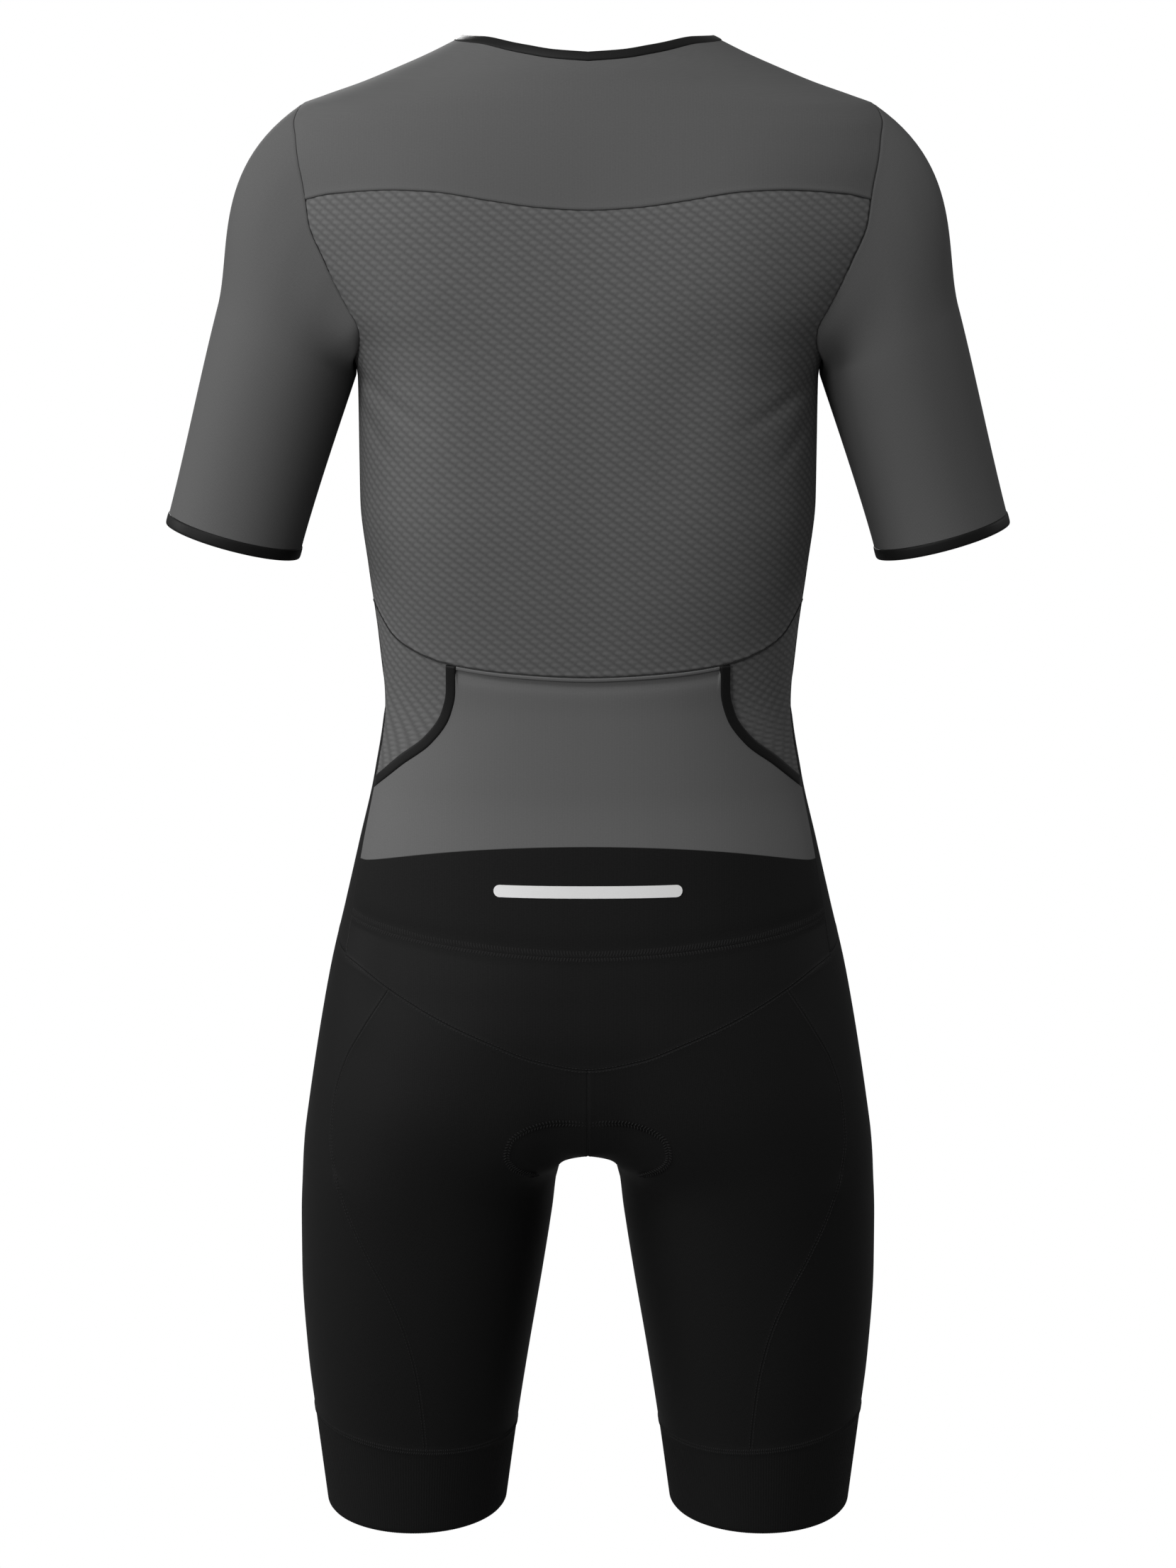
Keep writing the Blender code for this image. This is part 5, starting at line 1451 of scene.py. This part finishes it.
# ------------------------------------------------------------ zip

COIL_TAPE = knit("woven_tape_black", "#131313", "#1A1A1A", 0.65, 0.10, wale=0.0005)[0]
TAPE_CROWN = 0.0006             # how far the tape's middle stands off its edges
TAPE_WALL = 0.0008
TOOTH = 0.00042                 # a tooth's radius
TOOTH_PITCH = 0.0014
TOOTH_ROWS = ((-0.0019, 0.0002, 0.0), (-0.0002, 0.0019, TOOTH_PITCH / 2))   # from, to, first


def front_zip():
    """Tape with a crown exp(-(x / 2.2 mm)^2) high, and the coil's teeth as small bars across."""
    u = np.linspace(0, 1, 13)
    height = np.linspace(FRONT_WAIST_SEAM[0][1], ZIP_TOP, 220)
    width = between(-TAPE_HALF_WIDTH, TAPE_HALF_WIDTH, 1 - u)
    grid = np.stack([places(angle_across(np.full(height.shape, abs(w)), height, -1), height)
                     for w in width], axis=1)
    points = body(grid)
    points[..., 0] = width[None]
    normals = outward(grid)
    sheet = Sheet(points, normals)
    sheet.rise = sheet.rise + TAPE_CROWN * (bell(width, 0.0022)[None] - 1)
    cloth("front_zip_shell", [sheet], COIL_TAPE, ["front_zip"], wall=TAPE_WALL)
    teeth = places(-pi / 2, np.linspace(ZIP_TOP - 0.001, FRONT_WAIST_SEAM[0][1] + 0.002, 300))
    seam = SeamLine(teeth)
    rows = [loops(seam, TOOTH_PITCH, low, high, 0.0, 0.0001, 0.0003, 3, first)
            for low, high, first in TOOTH_ROWS]
    sew_rows("zip_teeth", rows, TOOTH, COIL)


# ------------------------------------------------------------ the suit

back_yoke()
back_panel()
lower_back()
pocket_panel()
waist_panel()
front()
leg_back()
leg_front()
leg_band()
cloth_pair("sleeve", sleeve(), GREY_KNIT, ring=True)
neck_binding()
pocket_bindings()
arc_piping()
cuff_bindings()
reflective_strip()
seam_lines()
inner_seams()
sewing()
front_zip()
for name in ("zip_slider", "zip_pull"):
    slots = frame["nodes"][name].data.materials
    slots.clear()
    slots.append(LACQUER)

# ------------------------------------------------------------ floor, light and camera

FLOOR = -1.50                   # under the wearer's feet
SKY_LEVEL = 0.317               # of the white room round the suit
TARGET = Vector((0.0, 0.0, -0.510))
ELEVATION = radians(12.0)
DISTANCE = 2.85
LENS = 90.44                    # millimetres, on a sensor of 36 on its long side


def camera_white(tree, shaded, kind):
    """White to the camera, while what reaches the suit is what `shaded` gives."""
    seen = node(tree, "ShaderNodeLightPath").outputs["Is Camera Ray"]
    white = node(tree, kind, Color=(1, 1, 1, 1), Strength=1.0)
    return node(tree, "ShaderNodeMixShader", {0: seen, 1: shaded, 2: white.outputs[0]})


def pale_floor():
    mesh = bpy.data.meshes.new("floor")
    mesh.from_pydata([(x, y, FLOOR) for x, y in ((-60, -60), (60, -60), (60, 60), (-60, 60))],
                     [], [(0, 1, 2, 3)])
    made, tree, shader = new_material("pale_floor")
    shader.inputs["Base Color"].default_value = linear("#707070")
    shader.inputs["Roughness"].default_value = 0.9
    mixed = camera_white(tree, shader.outputs[0], "ShaderNodeEmission")
    tree.links.new(mixed.outputs[0], tree.nodes["Material Output"].inputs["Surface"])
    mesh.materials.append(made)
    floor = bpy.data.objects.new("floor", mesh)
    bpy.context.scene.collection.objects.link(floor)


LIGHT_DISTANCE = 3.4
LIGHT_SIZE = 0.8
# Soft boxes round the suit. Columns: name, degrees round from its left side (90 is behind it),
# degrees up, level.
LIGHTS = (
    ("left_box", -10.0, 15.0, 0.205),
    ("left_low_box", 30.0, 10.0, 0.165),
    ("left_high_box", 20.0, 40.0, 0.126),
    ("back_box", 60.0, 20.0, 0.213),
    ("back_high_box", 60.0, 55.0, 0.335),
    ("right_box", 195.0, 20.0, 0.090),
    ("front_box", 285.0, 25.0, 0.361),
)


def area_light(name, round_it, up_it, level):
    """A soft box that gives a facing surface `level` times a white surface's own brightness:
    power = level * pi^2 * distance^2."""
    data = bpy.data.lights.new(name, "AREA")
    data.shape = "RECTANGLE"
    data.size = data.size_y = LIGHT_SIZE
    data.energy = level * pi ** 2 * LIGHT_DISTANCE ** 2
    light = bpy.data.objects.new(name, data)
    turn, up = radians(round_it), radians(up_it)
    way = Vector((cos(up) * cos(turn), cos(up) * sin(turn), sin(up)))
    light.location = TARGET + LIGHT_DISTANCE * way
    light.rotation_mode = "QUATERNION"
    light.rotation_quaternion = (-way).to_track_quat("-Z", "Y")
    bpy.context.scene.collection.objects.link(light)


def world():
    made = bpy.data.worlds.new("studio")
    bpy.context.scene.world = made
    made.use_nodes = True
    tree = made.node_tree
    sky = tree.nodes["Background"]
    sky.inputs["Color"].default_value = (1, 1, 1, 1)
    sky.inputs["Strength"].default_value = SKY_LEVEL
    mixed = camera_white(tree, sky.outputs[0], "ShaderNodeBackground")
    tree.links.new(mixed.outputs[0], tree.nodes["World Output"].inputs["Surface"])


def camera():
    data = bpy.data.cameras.new("camera")
    data.lens = LENS
    data.sensor_width = 36.0
    made = bpy.data.objects.new("camera", data)
    back = Vector((0.0, cos(ELEVATION), sin(ELEVATION)))
    made.location = TARGET + DISTANCE * back
    made.rotation_mode = "QUATERNION"
    made.rotation_quaternion = (-back).to_track_quat("-Z", "Y")
    bpy.context.scene.collection.objects.link(made)
    bpy.context.scene.camera = made


pale_floor()
for light in LIGHTS:
    area_light(*light)
world()
camera()
bpy.context.scene.view_settings.view_transform = "Standard"
